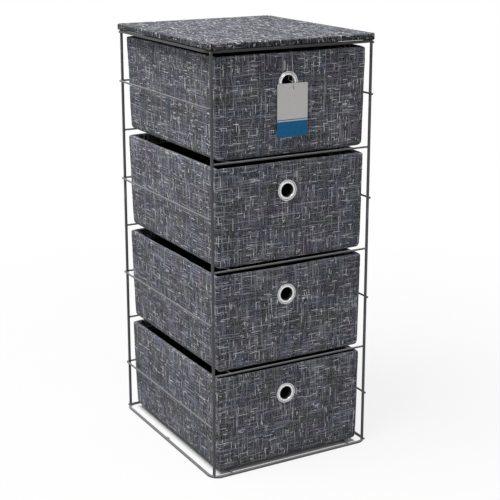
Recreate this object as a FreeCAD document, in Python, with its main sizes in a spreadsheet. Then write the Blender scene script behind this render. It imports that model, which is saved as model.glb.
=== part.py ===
import FreeCAD, Part
import Sketcher

import math
import os

# Fabric drawer dresser: four soft drawers in a welded wire tower, under a lid wrapped in cloth.
# Millimetres, +Z up, the front at -Y. The origin is on the floor, below the middle of the frame.
# Drawers, shelves, runners and guard rails are numbered from the top down.

DRAWERS = 4

SIZES = (
    # The welded frame.
    ("heavy_wire", 4.5, "diameter of the posts and the two rings"),
    ("light_wire", 3.0, "diameter of shelf wires, runners and guard rails"),
    ("post_across", 268.0, "left post axis to right post axis"),
    ("post_along", 307.0, "front post axis to rear post axis"),
    ("ring_bend", 16.0, "centreline radius of each ring's corners"),
    ("tier", 160.0, "one drawer's storey, ring to shelf and shelf to shelf"),
    ("weld_reach", 1.0, "how far a post's saddled end reaches round a ring"),
    ("flash_length", 12.0, "butt weld of the base ring, along the wire"),
    ("flash_thick", 5.9, "butt weld of the base ring, largest diameter"),
    ("rail_overrun", 0.8, "guard rail's end, past the front post's axis"),
    # Room round a drawer.
    ("side_gap", 5.25, "drawer's rim to a post, at each side"),
    ("front_setback", 3.2, "drawer's front, behind the front posts' axes"),
    ("rear_setback", 1.0, "drawer's rear rim, before the rear posts' axes"),
    ("head_gap", 7.2, "drawer's rim to the shelf wire above it"),
    ("glide_gap", 0.3, "drawer's bottom to the wires that it slides on"),
    ("runner_inset", 21.5, "runner's axis, in from the drawer's side"),
    # A drawer: cover, boards and lining, nested.
    ("side_draft", 3.0, "how much each side leans in, rim to bottom"),
    ("rear_draft", 5.0, "how much the rear leans in, rim to bottom"),
    ("corner_round", 3.0, "upright corners of the cover"),
    ("base_round", 8.5, "bottom edges of the cover"),
    ("rim_bevel", 0.6, "outer edge of the folded rim"),
    ("cover_cloth", 1.3, "tweed cover"),
    ("stiffener", 2.5, "boards inside the walls and bottom"),
    ("lining_cloth", 0.8, "black lining"),
    ("cloth_gap", 0.1, "between nested layers"),
    # The eyelet that serves as finger hole.
    ("eyelet_bore", 20.0, "clear opening"),
    ("eyelet_flange", 32.0, "outside diameter"),
    ("eyelet_crown", 1.8, "how far the flange stands out"),
    ("eyelet_metal", 0.6, "wall of the barrel"),
    ("eyelet_drop", 43.0, "centre below the rim"),
    ("eyelet_left", 8.0, "centre left of the drawer's middle"),
    ("eyelet_round", 1.1, "edges of the flange, each in two flats"),
    ("eyelet_flat", 0.3, "where the two flats meet, as a share of the edge"),
    ("washer_outside", 30.0, "outside diameter of the washer behind"),
    ("washer_thick", 1.0, "washer"),
    ("curl_width", 2.2, "barrel's end, curled out over the washer"),
    ("curl_thick", 0.9, "barrel's curled end"),
    # The card tag and its loop.
    ("tag_width", 51.0, "card"),
    ("tag_height", 78.0, "card"),
    ("tag_thick", 0.8, "card"),
    ("tag_corner", 2.0, "card's corners"),
    ("tag_hole", 4.0, "punched hole"),
    ("tag_hole_drop", 6.5, "punched hole's centre below the card's top"),
    ("tag_below", 1.5, "card's top below the eyelet's centre"),
    ("tag_left", 2.0, "card's middle left of the drawer's middle"),
    ("loop_thick", 0.9, "plastic loop"),
    ("loop_gap", 0.25, "loop to what it passes"),
    ("loop_bend", 0.8, "each turn's reach, cut across by a short run"),
    # The lid.
    ("lid_setback", 0.5, "lid's side, in from the ring's outside"),
    ("lid_thick", 8.5, "whole lid"),
    ("lid_corner", 12.0, "corners in plan"),
    ("lid_edge", 4.0, "rounding of the top edge"),
    ("lid_under_edge", 1.4, "bevel of the lower edge"),
    ("lid_hem", 24.0, "cloth turned in below the board"),
    ("lid_gap", 0.3, "lid to the ring that carries it"),
)

# Sizes that follow from the driving ones, as expressions.
POST_X = "(Sizes.post_across / 2)"
POST_Y = "(Sizes.post_along / 2)"
RING_OUT = "(Sizes.ring_bend * (1 - sqrt(0.5)))"
RING_X = f"({POST_X} + {RING_OUT})"
RING_Y = f"({POST_Y} + {RING_OUT})"
BASE_RING_Z = "(Sizes.heavy_wire / 2)"
TOP_RING_Z = f"({BASE_RING_Z} + {DRAWERS} * Sizes.tier)"
RAIL_BEND = "((Sizes.heavy_wire + Sizes.light_wire) / 2)"
RAIL_X = f"({POST_X} + {RAIL_BEND})"
RAIL_Y = f"({POST_Y} + {RAIL_BEND})"
DRAWER_WIDTH = "(Sizes.post_across - Sizes.heavy_wire - 2 * Sizes.side_gap)"
DRAWER_DEPTH = "(Sizes.post_along - Sizes.front_setback - Sizes.rear_setback)"
DRAWER_HEIGHT = "(Sizes.tier - Sizes.light_wire - Sizes.glide_gap - Sizes.head_gap)"
DRAWER_FRONT = f"(Sizes.front_setback - {POST_Y})"
DRAWER_MIDDLE = f"({DRAWER_FRONT} + {DRAWER_DEPTH} / 2)"
RUNNER_X = f"({DRAWER_WIDTH} / 2 - Sizes.runner_inset)"

# Layers of a drawer's wall, as insets from its outside.
BOARD_OUTSIDE = "(Sizes.cover_cloth + Sizes.cloth_gap)"
BOARD_INSIDE = f"({BOARD_OUTSIDE} + Sizes.stiffener)"
LINING_OUTSIDE = f"({BOARD_INSIDE} + Sizes.cloth_gap)"
LINING_INSIDE = f"({LINING_OUTSIDE} + Sizes.lining_cloth)"
CAVITY_TOP = f"({DRAWER_HEIGHT} - Sizes.cover_cloth)"
WALL_TOP = f"({CAVITY_TOP} - Sizes.cloth_gap)"

EYELET_HEIGHT = f"({DRAWER_HEIGHT} - Sizes.eyelet_drop)"
BARREL_OUTSIDE = "(Sizes.eyelet_bore / 2 + Sizes.eyelet_metal)"
WALL_BORE = f"(2 * {BARREL_OUTSIDE} + 2 * Sizes.cloth_gap)"

doc = FreeCAD.newDocument("fabric_drawer_dresser")
pieces = []


def make_sheet():
    """The driving sizes, one to a row: name, number and what it is."""
    sheet = doc.addObject("Spreadsheet::Sheet", "Sizes")
    for row, (alias, number, meaning) in enumerate(SIZES, start=1):
        sheet.set(f"A{row}", alias)
        sheet.set(f"B{row}", str(number))
        sheet.set(f"C{row}", meaning)
        sheet.setAlias(f"B{row}", alias)
    doc.recompute()
    return sheet


sizes = make_sheet()


def value(expression):
    """What an expression of the sheet's sizes comes to."""
    return float(sizes.evalExpression(expression))


def bind(item, expressions):
    """Ties each named property of an object to its expression."""
    for name, expression in expressions.items():
        item.setExpression(name, expression)


def keep(piece, name):
    """Labels an object as one of the dresser's pieces."""
    piece.Label = name
    pieces.append(piece)
    return piece


def new_body(name, x="0", y="0", z="0"):
    """An empty body whose own origin stands at the given place."""
    body = doc.addObject("PartDesign::Body", name)
    bind(body, {"Placement.Base.x": x, "Placement.Base.y": y, "Placement.Base.z": z})
    return body


def new_sketch(body, name, plane, x="0", y="0", z="0"):
    """An empty sketch on one of the body's origin planes, moved within and off that plane."""
    sketch = body.newObject("Sketcher::SketchObject", name)
    support = next(item for item in body.Origin.OriginFeatures if item.Role == plane)
    sketch.AttachmentSupport = [(support, "")]
    sketch.MapMode = "FlatFace"
    bind(sketch, {
        "AttachmentOffset.Base.x": x,
        "AttachmentOffset.Base.y": y,
        "AttachmentOffset.Base.z": z,
    })
    return sketch


def dimension(sketch, kind, *place, size):
    """Adds one driving dimension to a sketch and ties it to its expression."""
    index = sketch.addConstraint(Sketcher.Constraint(kind, *place, value(size)))
    sketch.setExpression(f"Constraints[{index}]", size)


def draw_circle(sketch, across, x="0", y="0"):
    """A circle of the given diameter, its centre measured from the sketch's origin."""
    centre = FreeCAD.Vector(value(x), value(y), 0)
    circle = sketch.addGeometry(Part.Circle(centre, FreeCAD.Vector(0, 0, 1), value(across) / 2))
    dimension(sketch, "DistanceX", -1, 1, circle, 3, size=x)
    dimension(sketch, "DistanceY", -1, 1, circle, 3, size=y)
    dimension(sketch, "Diameter", circle, size=across)


def draw_polygon(sketch, corners):
    """Straight sides through the corners, each measured from the sketch's origin."""
    points = [FreeCAD.Vector(value(x), value(y), 0) for x, y in corners]
    count = len(points)
    sides = [
        sketch.addGeometry(Part.LineSegment(points[i], points[(i + 1) % count]))
        for i in range(count)
    ]
    for i, (x, y) in enumerate(corners):
        sketch.addConstraint(Sketcher.Constraint("Coincident", sides[i - 1], 2, sides[i], 1))
        dimension(sketch, "DistanceX", -1, 1, sides[i], 1, size=x)
        dimension(sketch, "DistanceY", -1, 1, sides[i], 1, size=y)


def draw_box(sketch, half_x, half_y):
    """A rectangle about the sketch's origin."""
    draw_polygon(sketch, [
        (f"-{half_x}", f"-{half_y}"),
        (half_x, f"-{half_y}"),
        (half_x, half_y),
        (f"-{half_x}", half_y),
    ])


def draw_bent_wire(sketch, route, bend):
    """Square runs through a route that turns left at each inner point, joined by tangent arcs."""
    points = [FreeCAD.Vector(value(x), value(y), 0) for x, y in route]
    radius = value(bend)
    last = len(points) - 2
    runs = []
    headings = []
    for i in range(last + 1):
        heading = (points[i + 1] - points[i]).normalize()
        start = points[i] + heading * radius if i > 0 else points[i]
        end = points[i + 1] - heading * radius if i < last else points[i + 1]
        runs.append(sketch.addGeometry(Part.LineSegment(start, end)))
        headings.append(heading)
    for i in range(last):
        centre = points[i + 1] + (headings[i + 1] - headings[i]) * radius
        turn = math.atan2(-headings[i + 1].y, -headings[i + 1].x)
        circle = Part.Circle(centre, FreeCAD.Vector(0, 0, 1), radius)
        arc = sketch.addGeometry(Part.ArcOfCircle(circle, turn, turn + math.pi / 2))
        sketch.addConstraint(Sketcher.Constraint("Tangent", runs[i], 2, arc, 1))
        sketch.addConstraint(Sketcher.Constraint("Tangent", arc, 2, runs[i + 1], 1))
        dimension(sketch, "Radius", arc, size=bend)
    for i, run in enumerate(runs):
        x, y = route[i]
        if abs(headings[i].x) > abs(headings[i].y):
            sketch.addConstraint(Sketcher.Constraint("Horizontal", run))
            dimension(sketch, "DistanceY", -1, 1, run, 1, size=y)
        else:
            sketch.addConstraint(Sketcher.Constraint("Vertical", run))
            dimension(sketch, "DistanceX", -1, 1, run, 1, size=x)
    dimension(sketch, "DistanceY", -1, 1, runs[0], 1, size=route[0][1])
    dimension(sketch, "DistanceY", -1, 1, runs[-1], 2, size=route[-1][1])


def draw_rounded_box(sketch, half_x, half_y, bend):
    """A rectangle with round corners, starting and ending half way along its left side."""
    route = (
        (f"-{half_x}", "0"),
        (f"-{half_x}", f"-{half_y}"),
        (half_x, f"-{half_y}"),
        (half_x, half_y),
        (f"-{half_x}", half_y),
        (f"-{half_x}", "0"),
    )
    draw_bent_wire(sketch, route, bend)


def pad(body, name, sketch, length, symmetric=False, downwards=False):
    """Material from a sketch, off its plane or to both sides of it."""
    feature = body.newObject("PartDesign::Pad", name)
    feature.Profile = sketch
    feature.SideType = "Symmetric" if symmetric else "One side"
    feature.Reversed = downwards
    bind(feature, {"Length": length})
    doc.recompute()
    return feature


def pocket(body, name, sketch, length, forwards):
    """Cuts a sketch into the body, along its plane's normal or against it."""
    feature = body.newObject("PartDesign::Pocket", name)
    feature.Profile = sketch
    feature.Reversed = forwards
    bind(feature, {"Length": length})
    doc.recompute()
    return feature


def lean(body, name, feature, wanted, angle, inwards):
    """Drafts the chosen upright faces about the feature's top, in or out towards the bottom."""
    faces = list(enumerate((face.BoundBox for face in feature.Shape.Faces), start=1))
    top = max(faces, key=lambda item: item[1].ZMin)[0]
    draft = body.newObject("PartDesign::Draft", name)
    draft.Base = (feature, [f"Face{i}" for i, box in faces if wanted(box)])
    draft.NeutralPlane = (feature, [f"Face{top}"])
    draft.Reversed = inwards
    bind(draft, {"Angle": angle})
    doc.recompute()
    return draft


def revolve(body, name, sketch):
    """A full turn of a sketch about its own upright axis."""
    feature = body.newObject("PartDesign::Revolution", name)
    feature.Profile = sketch
    feature.ReferenceAxis = (sketch, ["V_Axis"])
    feature.Angle = 360
    doc.recompute()
    return feature


def sweep(body, name, profile, path):
    """One section carried along a path."""
    feature = body.newObject("PartDesign::AdditivePipe", name)
    feature.Profile = profile
    feature.Spine = path
    doc.recompute()
    return feature


def fillet(body, name, feature, radius, wanted):
    """Rounds every edge of a feature whose bounding box passes the test."""
    edges = [
        f"Edge{i}" for i, edge in enumerate(feature.Shape.Edges, start=1) if wanted(edge.BoundBox)
    ]
    rounding = body.newObject("PartDesign::Fillet", name)
    rounding.Base = (feature, edges)
    bind(rounding, {"Radius": radius})
    doc.recompute()
    return rounding


def chamfer(body, name, feature, size, wanted):
    """Bevels every edge of a feature whose bounding box passes the test."""
    edges = [
        f"Edge{i}" for i, edge in enumerate(feature.Shape.Edges, start=1) if wanted(edge.BoundBox)
    ]
    bevel = body.newObject("PartDesign::Chamfer", name)
    bevel.Base = (feature, edges)
    bind(bevel, {"Size": size})
    doc.recompute()
    return bevel


def level_at(height):
    """Edge test: lies flat at this height of its body."""
    level = value(height)
    return lambda box: box.ZLength < 0.01 and abs(box.ZMin - level) < 0.01


def rises(box):
    """Edge test: runs from low to high, as at a drawer's corners."""
    return box.ZLength > 4 * max(box.XLength, box.YLength)


def at_side(box):
    """Face test: upright and square to X."""
    return box.XLength < 0.01


def at_rear(box):
    """Face test: upright, square to Y and behind the body's middle."""
    return box.YLength < 0.01 and box.YMin > 0


def subtract(base, tool, name):
    """One object less another, as the piece of that name."""
    cut = doc.addObject("Part::Cut", name)
    cut.Base = base
    cut.Tool = tool
    doc.recompute()
    return keep(cut, name)


# ---------------------------------------------------------------- the welded frame


def make_ring(name, height, welded_here):
    """One heavy wire bent to a rounded rectangle.

    The base ring shows its butt weld half way along the left side, where the flash stands up and
    inwards, so that the ring still rests flat.
    """
    body = new_body(name, z=height)
    path = new_sketch(body, f"{name}_path", "XY_Plane")
    draw_rounded_box(path, RING_X, RING_Y, "Sizes.ring_bend")
    section = new_sketch(body, f"{name}_section", "XZ_Plane", x=f"-{RING_X}")
    draw_circle(section, "Sizes.heavy_wire")
    sweep(body, f"{name}_wire", section, path)
    if welded_here:
        off = "(Sizes.flash_thick - Sizes.heavy_wire) / 2"
        flash = new_sketch(
            body, f"{name}_flash_profile", "XY_Plane", x=f"{off} - {RING_X}", z=off
        )
        draw_lens(flash, "Sizes.flash_length", "(Sizes.flash_thick / 2)")
        revolve(body, f"{name}_flash", flash)
    return keep(body, name)


def draw_lens(sketch, length, rise):
    """Half a lens on the sketch's upright axis: a chord and the arc that rises beside it."""
    half = value(length) / 2
    ends = FreeCAD.Vector(0, -half, 0), FreeCAD.Vector(0, half, 0)
    chord = sketch.addGeometry(Part.LineSegment(ends[1], ends[0]))
    arc = sketch.addGeometry(Part.Arc(ends[0], FreeCAD.Vector(value(rise), 0, 0), ends[1]))
    sketch.addConstraint(Sketcher.Constraint("Coincident", chord, 2, arc, 1))
    sketch.addConstraint(Sketcher.Constraint("Coincident", arc, 2, chord, 1))
    dimension(sketch, "DistanceX", -1, 1, chord, 1, size="0")
    dimension(sketch, "DistanceX", -1, 1, chord, 2, size="0")
    dimension(sketch, "DistanceY", -1, 1, chord, 1, size=f"{length} / 2")
    dimension(sketch, "DistanceY", -1, 1, chord, 2, size=f"-{length} / 2")
    dimension(sketch, "Radius", arc, size=f"({rise}^2 + ({length} / 2)^2) / (2 * {rise})")


def make_post_bar(name, x, y):
    """A straight heavy bar that ends part way round each ring."""
    bar = doc.addObject("Part::Cylinder", name)
    low = "(Sizes.heavy_wire - Sizes.weld_reach)"
    bind(bar, {
        "Radius": "Sizes.heavy_wire / 2",
        "Height": f"{TOP_RING_Z} - Sizes.heavy_wire / 2 + Sizes.weld_reach - {low}",
        "Placement.Base.x": x,
        "Placement.Base.y": y,
        "Placement.Base.z": low,
    })
    doc.recompute()
    return bar


def make_posts(rings):
    """Four posts, their ends saddled to fit the rings; returns the plain bars too."""
    both_rings = doc.addObject("Part::Compound", "both_rings")
    both_rings.Links = rings
    bars = []
    for along, y in (("front", f"-{POST_Y}"), ("rear", POST_Y)):
        for across, x in (("left", f"-{POST_X}"), ("right", POST_X)):
            bar = make_post_bar(f"bar_{along}_{across}", x, y)
            subtract(bar, both_rings, f"post_{along}_{across}")
            bars.append(bar)
    all_bars = doc.addObject("Part::Compound", "all_bars")
    all_bars.Links = bars
    doc.recompute()
    return all_bars


def shelf_height(number):
    """Axis height of the shelf wires below a drawer; the last drawer's shelf is the base ring."""
    return f"({BASE_RING_Z} + {DRAWERS - number} * Sizes.tier)"


def make_shelf(number, bars):
    """A front and a rear cross wire, coped to the posts, and two runners level with them, coped to
    the cross wires.
    """
    wires = new_body(f"cross_bars_{number}", z=shelf_height(number))
    ends = new_sketch(wires, f"cross_bar_ends_{number}", "YZ_Plane")
    for y in (f"-{POST_Y}", POST_Y):
        draw_circle(ends, "Sizes.light_wire", x=y)
    pad(wires, f"cross_bar_pair_{number}", ends, "Sizes.post_across", symmetric=True)
    subtract(wires, bars, f"shelf_wires_{number}")

    runners = new_body(f"runner_bars_{number}", z=shelf_height(number))
    pad_runners(runners, number, f"2 * {POST_Y} - Sizes.light_wire / 2")
    subtract(runners, wires, f"runners_{number}")


def pad_runners(body, number, length):
    """Two light wires, front to rear, under a drawer's sides."""
    ends = new_sketch(body, f"runner_ends_{number}", "XZ_Plane")
    for x in (f"-{RUNNER_X}", RUNNER_X):
        draw_circle(ends, "Sizes.light_wire", x=x)
    return pad(body, f"runner_pair_{number}", ends, length, symmetric=True)


def make_base_runners(ring):
    """The lowest drawer's runners: level with the base ring's top and coped to its two long wires."""
    body = new_body("base_runner_bars", z="Sizes.heavy_wire - Sizes.light_wire / 2")
    pad_runners(body, DRAWERS, f"2 * {RING_Y} - Sizes.heavy_wire / 2")
    subtract(body, ring, f"runners_{DRAWERS}")


def make_guard_rail(number):
    """A light wire bent round the rear posts and lapped on the outsides of the front ones."""
    body = new_body(f"guard_rail_{number}", z=f"{shelf_height(number)} + Sizes.tier / 2")
    end_y = f"-({POST_Y} + Sizes.rail_overrun)"
    path = new_sketch(body, f"guard_rail_path_{number}", "XY_Plane")
    route = ((RAIL_X, end_y), (RAIL_X, RAIL_Y), (f"-{RAIL_X}", RAIL_Y), (f"-{RAIL_X}", end_y))
    draw_bent_wire(path, route, RAIL_BEND)
    section = new_sketch(
        body, f"guard_rail_section_{number}", "XZ_Plane", x=RAIL_X, z=f"-({end_y})"
    )
    draw_circle(section, "Sizes.light_wire")
    sweep(body, f"guard_rail_wire_{number}", section, path)
    keep(body, f"guard_rail_{number}")


def make_frame():
    """Rings, posts, shelves, runners and guard rails."""
    base_ring = make_ring("base_ring", BASE_RING_Z, welded_here=True)
    top_ring = make_ring("top_ring", TOP_RING_Z, welded_here=False)
    bars = make_posts([base_ring, top_ring])
    for number in range(1, DRAWERS):
        make_shelf(number, bars)
    make_base_runners(base_ring)
    for number in range(1, DRAWERS + 1):
        make_guard_rail(number)


# ---------------------------------------------------------------- a drawer


def drawer_bottom(number):
    """Height of a drawer's underside: just clear of its runners and cross wires."""
    if number == DRAWERS:
        return "(Sizes.heavy_wire + Sizes.glide_gap)"
    return f"({shelf_height(number)} + Sizes.light_wire / 2 + Sizes.glide_gap)"


SIDE_ANGLE = f"atan(Sizes.side_draft / {DRAWER_HEIGHT})"
REAR_ANGLE = f"atan(Sizes.rear_draft / {DRAWER_HEIGHT})"


def half_width(inset, level):
    """Half width inside a drawer's side walls at a level; the walls lean in towards the bottom."""
    shrink = f"Sizes.side_draft * (1 - {level} / {DRAWER_HEIGHT})"
    return f"({DRAWER_WIDTH} / 2 - {shrink} - {inset})"


def rear_shrink(level):
    """How far the rear wall has come forward at a level."""
    return f"(Sizes.rear_draft * (1 - {level} / {DRAWER_HEIGHT}))"


def half_depth(inset, level):
    """Half the plan's depth at a level, inset at front and rear."""
    return f"({DRAWER_DEPTH} / 2 - {inset} - {rear_shrink(level)} / 2)"


def plan_at(body, name, inset, level):
    """The drawer's plan at a level, inset all round; its middle moves forward with the rear."""
    plan = new_sketch(body, name, "XY_Plane", y=f"-{rear_shrink(level)} / 2", z=level)
    draw_box(plan, half_width(inset, level), half_depth(inset, level))
    return plan


def drafted_block(body, name, inset, low, high):
    """The drawer's outline between two levels: upright front, sides and rear drafted."""
    plan = plan_at(body, f"{name}_plan", inset, high)
    block = pad(body, name, plan, f"{high} - {low}", downwards=True)
    sides = lean(body, f"{name}_sides", block, at_side, SIDE_ANGLE, inwards=True)
    return lean(body, f"{name}_rear", sides, at_rear, REAR_ANGLE, inwards=True)


def bore_front(body, name):
    """Sinks the eyelet's hole into the front."""
    circle = new_sketch(
        body, f"{name}_bore_edge", "XZ_Plane",
        x="-Sizes.eyelet_left", y=EYELET_HEIGHT, z=f"{DRAWER_DEPTH} / 2",
    )
    draw_circle(circle, WALL_BORE)
    pocket(body, f"{name}_bore", circle, f"2 * {LINING_INSIDE}", forwards=False)


def drawer_body(number, part):
    """A body with its origin under the middle of a drawer's plan, at the drawer's bottom."""
    return new_body(f"drawer_{number}_{part}", y=DRAWER_MIDDLE, z=drawer_bottom(number))


def make_cover(number):
    """One tweed skin: walls, bottom and a folded rim that bridges boards and lining.

    The outside is a drafted block with soft edges. The boards' space is a second such block, inset
    by the cloth and rounded about the same centres, and the mouth is cut through the rim.
    """
    name = f"drawer_{number}_cover"
    body = drawer_body(number, "cover_block")
    outside = drafted_block(body, f"{name}_outside", "0", "0", DRAWER_HEIGHT)
    base = fillet(body, f"{name}_base", outside, "Sizes.base_round", level_at("0"))
    corners = fillet(body, f"{name}_corners", base, "Sizes.corner_round", rises)
    chamfer(body, f"{name}_rim", corners, "Sizes.rim_bevel", level_at(DRAWER_HEIGHT))
    mouth = plan_at(body, f"{name}_mouth_edge", LINING_INSIDE, DRAWER_HEIGHT)
    pocket(body, f"{name}_mouth", mouth, "1.5 * Sizes.cover_cloth", forwards=False)
    bore_front(body, name)

    space = drawer_body(number, "board_space")
    block = drafted_block(
        space, f"{name}_space", "Sizes.cover_cloth", "Sizes.cover_cloth", CAVITY_TOP
    )
    fillet(
        space, f"{name}_space_base", block, "Sizes.base_round - Sizes.cover_cloth",
        level_at("Sizes.cover_cloth"),
    )
    subtract(body, space, name)


def make_lining(number):
    """The black inner skin, nested inside the boards and rounded about the cover's centres."""
    name = f"drawer_{number}_lining"
    body = drawer_body(number, "lining_block")
    outside = drafted_block(body, f"{name}_outside", LINING_OUTSIDE, LINING_OUTSIDE, WALL_TOP)
    fillet(
        body, f"{name}_base", outside, f"Sizes.base_round - {LINING_OUTSIDE}",
        level_at(LINING_OUTSIDE),
    )
    bore_front(body, name)

    space = drawer_body(number, "lining_space")
    inside = drafted_block(space, f"{name}_inside", LINING_INSIDE, LINING_INSIDE, DRAWER_HEIGHT)
    fillet(
        space, f"{name}_inside_base", inside, f"Sizes.base_round - {LINING_INSIDE}",
        level_at(LINING_INSIDE),
    )
    subtract(body, space, name)


def wall_board(body, name, half_x, half_y, x="0", y="0"):
    """An upright sheet below the rim, down to where the cover's bottom edge begins to round."""
    plan = new_sketch(body, f"{name}_plan", "XY_Plane", x=x, y=y, z=WALL_TOP)
    draw_box(plan, half_x, half_y)
    return pad(body, f"{name}_sheet", plan, f"{WALL_TOP} - Sizes.base_round", downwards=True)


def make_front_board(number):
    """The front's stiffener, as wide as the cover's inside."""
    name = f"drawer_{number}_front_board"
    body = drawer_body(number, "front_board")
    sheet = wall_board(
        body, name, half_width(BOARD_OUTSIDE, WALL_TOP), "(Sizes.stiffener / 2)",
        y=f"-({DRAWER_DEPTH} / 2 - {BOARD_OUTSIDE} - Sizes.stiffener / 2)",
    )
    lean(body, f"{name}_sides", sheet, at_side, SIDE_ANGLE, inwards=True)
    bore_front(body, name)
    keep(body, name)


def make_rear_board(number):
    """The rear's stiffener, leaning forward with the cover."""
    name = f"drawer_{number}_rear_board"
    body = drawer_body(number, "rear_board")
    reach = f"({DRAWER_DEPTH} / 2 - {BOARD_OUTSIDE} - {rear_shrink(WALL_TOP)})"
    sheet = wall_board(
        body, name, half_width(BOARD_OUTSIDE, WALL_TOP), "(Sizes.stiffener / 2)",
        y=f"{reach} - Sizes.stiffener / 2",
    )
    sides = lean(body, f"{name}_sides", sheet, at_side, SIDE_ANGLE, inwards=True)
    middle = value(f"{reach} - Sizes.stiffener / 2")
    inside = lean(
        body, f"{name}_inside", sides,
        lambda box: box.YLength < 0.01 and box.YMin < middle, REAR_ANGLE, inwards=False,
    )
    lean(body, f"{name}_outside", inside, at_rear, REAR_ANGLE, inwards=True)
    keep(body, name)


def make_side_board(number, side, sign):
    """Left or right stiffener, between the front and the rear one, leaning with the cover."""
    name = f"drawer_{number}_{side}_board"
    body = drawer_body(number, f"{side}_board")
    middle = f"({sign} * ({half_width(BOARD_OUTSIDE, WALL_TOP)} - Sizes.stiffener / 2))"
    sheet = wall_board(
        body, name, "(Sizes.stiffener / 2)", half_depth(LINING_OUTSIDE, WALL_TOP),
        x=middle, y=f"-{rear_shrink(WALL_TOP)} / 2",
    )
    split = value(middle)
    facing_in = lean(
        body, f"{name}_inside", sheet,
        lambda box: at_side(box) and abs(box.XMin) < abs(split), SIDE_ANGLE, inwards=False,
    )
    facing_out = lean(
        body, f"{name}_outside", facing_in, at_side, SIDE_ANGLE, inwards=True
    )
    lean(body, f"{name}_end", facing_out, at_rear, REAR_ANGLE, inwards=True)
    keep(body, name)


def make_base_board(number):
    """The flat board below the lining, inside the cover's rounded bottom edges."""
    name = f"drawer_{number}_base_board"
    body = drawer_body(number, "base_board")
    plan = plan_at(body, f"{name}_plan", "Sizes.base_round", BOARD_OUTSIDE)
    pad(body, f"{name}_sheet", plan, "Sizes.stiffener")
    keep(body, name)


def eyelet_body(number, part, behind):
    """A body on the eyelet's axis, its origin so far behind the drawer's front."""
    return new_body(
        f"drawer_{number}_{part}",
        x="-Sizes.eyelet_left",
        y=f"{DRAWER_FRONT} + {behind}",
        z=f"{drawer_bottom(number)} + {EYELET_HEIGHT}",
    )


def make_eyelet(number):
    """A turned flange on the cover, a barrel through the wall and its end curled over a washer."""
    name = f"drawer_{number}_eyelet"
    body = eyelet_body(number, "eyelet", "(-Sizes.eyelet_crown)")
    bore = "(Sizes.eyelet_bore / 2)"
    rim = "(Sizes.eyelet_flange / 2)"
    back = f"(Sizes.eyelet_crown + {LINING_INSIDE} + Sizes.washer_thick)"
    curl = f"({BARREL_OUTSIDE} + Sizes.curl_width)"
    edge = "Sizes.eyelet_round"
    flat = "(Sizes.eyelet_round * Sizes.eyelet_flat)"
    profile = new_sketch(body, f"{name}_profile", "XY_Plane")
    draw_polygon(profile, [
        (bore, edge),
        (f"{bore} + {flat}", flat),
        (f"{bore} + {edge}", "0"),
        (f"{rim} - {edge}", "0"),
        (f"{rim} - {flat}", flat),
        (rim, edge),
        (rim, "Sizes.eyelet_crown"),
        (BARREL_OUTSIDE, "Sizes.eyelet_crown"),
        (BARREL_OUTSIDE, back),
        (curl, back),
        (curl, f"{back} + Sizes.curl_thick"),
        (bore, f"{back} + Sizes.curl_thick"),
    ])
    revolve(body, f"{name}_turned", profile)
    keep(body, name)


def make_washer(number):
    """The flat ring behind the lining that the barrel is curled over."""
    name = f"drawer_{number}_eyelet_washer"
    body = eyelet_body(number, "eyelet_washer", LINING_INSIDE)
    inner = f"({BARREL_OUTSIDE} + Sizes.cloth_gap)"
    outer = "(Sizes.washer_outside / 2)"
    profile = new_sketch(body, f"{name}_profile", "XY_Plane")
    draw_polygon(profile, [
        (inner, "0"),
        (outer, "0"),
        (outer, "Sizes.washer_thick"),
        (inner, "Sizes.washer_thick"),
    ])
    revolve(body, f"{name}_turned", profile)
    keep(body, name)


def make_drawer(number):
    """Cover, boards, lining and eyelet of one drawer."""
    make_cover(number)
    make_front_board(number)
    make_rear_board(number)
    make_side_board(number, "left", "-1")
    make_side_board(number, "right", "1")
    make_base_board(number)
    make_lining(number)
    make_eyelet(number)
    make_washer(number)


# ---------------------------------------------------------------- the tag on the top drawer

TAG_HOLE_Z = (
    f"({drawer_bottom(1)} + {EYELET_HEIGHT} - Sizes.tag_below - Sizes.tag_hole_drop)"
)
BEHIND_CARD = "(2 * Sizes.loop_gap + Sizes.loop_thick)"
TAG_Y = f"({DRAWER_FRONT} - Sizes.eyelet_crown - {BEHIND_CARD} - Sizes.tag_thick / 2)"


def make_tag_card():
    """A card with a punched hole; its origin is the hole's centre."""
    body = new_body("tag_card", x="-Sizes.tag_left", y=TAG_Y, z=TAG_HOLE_Z)
    middle = "(Sizes.tag_hole_drop - Sizes.tag_height / 2)"
    outline = new_sketch(body, "tag_outline", "XZ_Plane", y=middle)
    draw_rounded_box(
        outline, "(Sizes.tag_width / 2)", "(Sizes.tag_height / 2)", "Sizes.tag_corner"
    )
    draw_circle(outline, "Sizes.tag_hole", y=f"-{middle}")
    pad(body, "tag_sheet", outline, "Sizes.tag_thick", symmetric=True)
    keep(body, "tag_card")


def blunt_loop(points, bend):
    """A closed wire of straight runs, each corner cut across where an arc would begin and end."""
    stops = []
    count = len(points)
    for i, corner in enumerate(points):
        back = (points[i - 1] - corner).normalize()
        ahead = (points[(i + 1) % count] - corner).normalize()
        trim = bend * math.tan((math.pi - back.getAngle(ahead)) / 2)
        stops += [corner + back * trim, corner + ahead * trim]
    return Part.Wire([
        Part.LineSegment(start, end).toShape()
        for start, end in zip(stops, stops[1:] + stops[:1])
    ])


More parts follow.
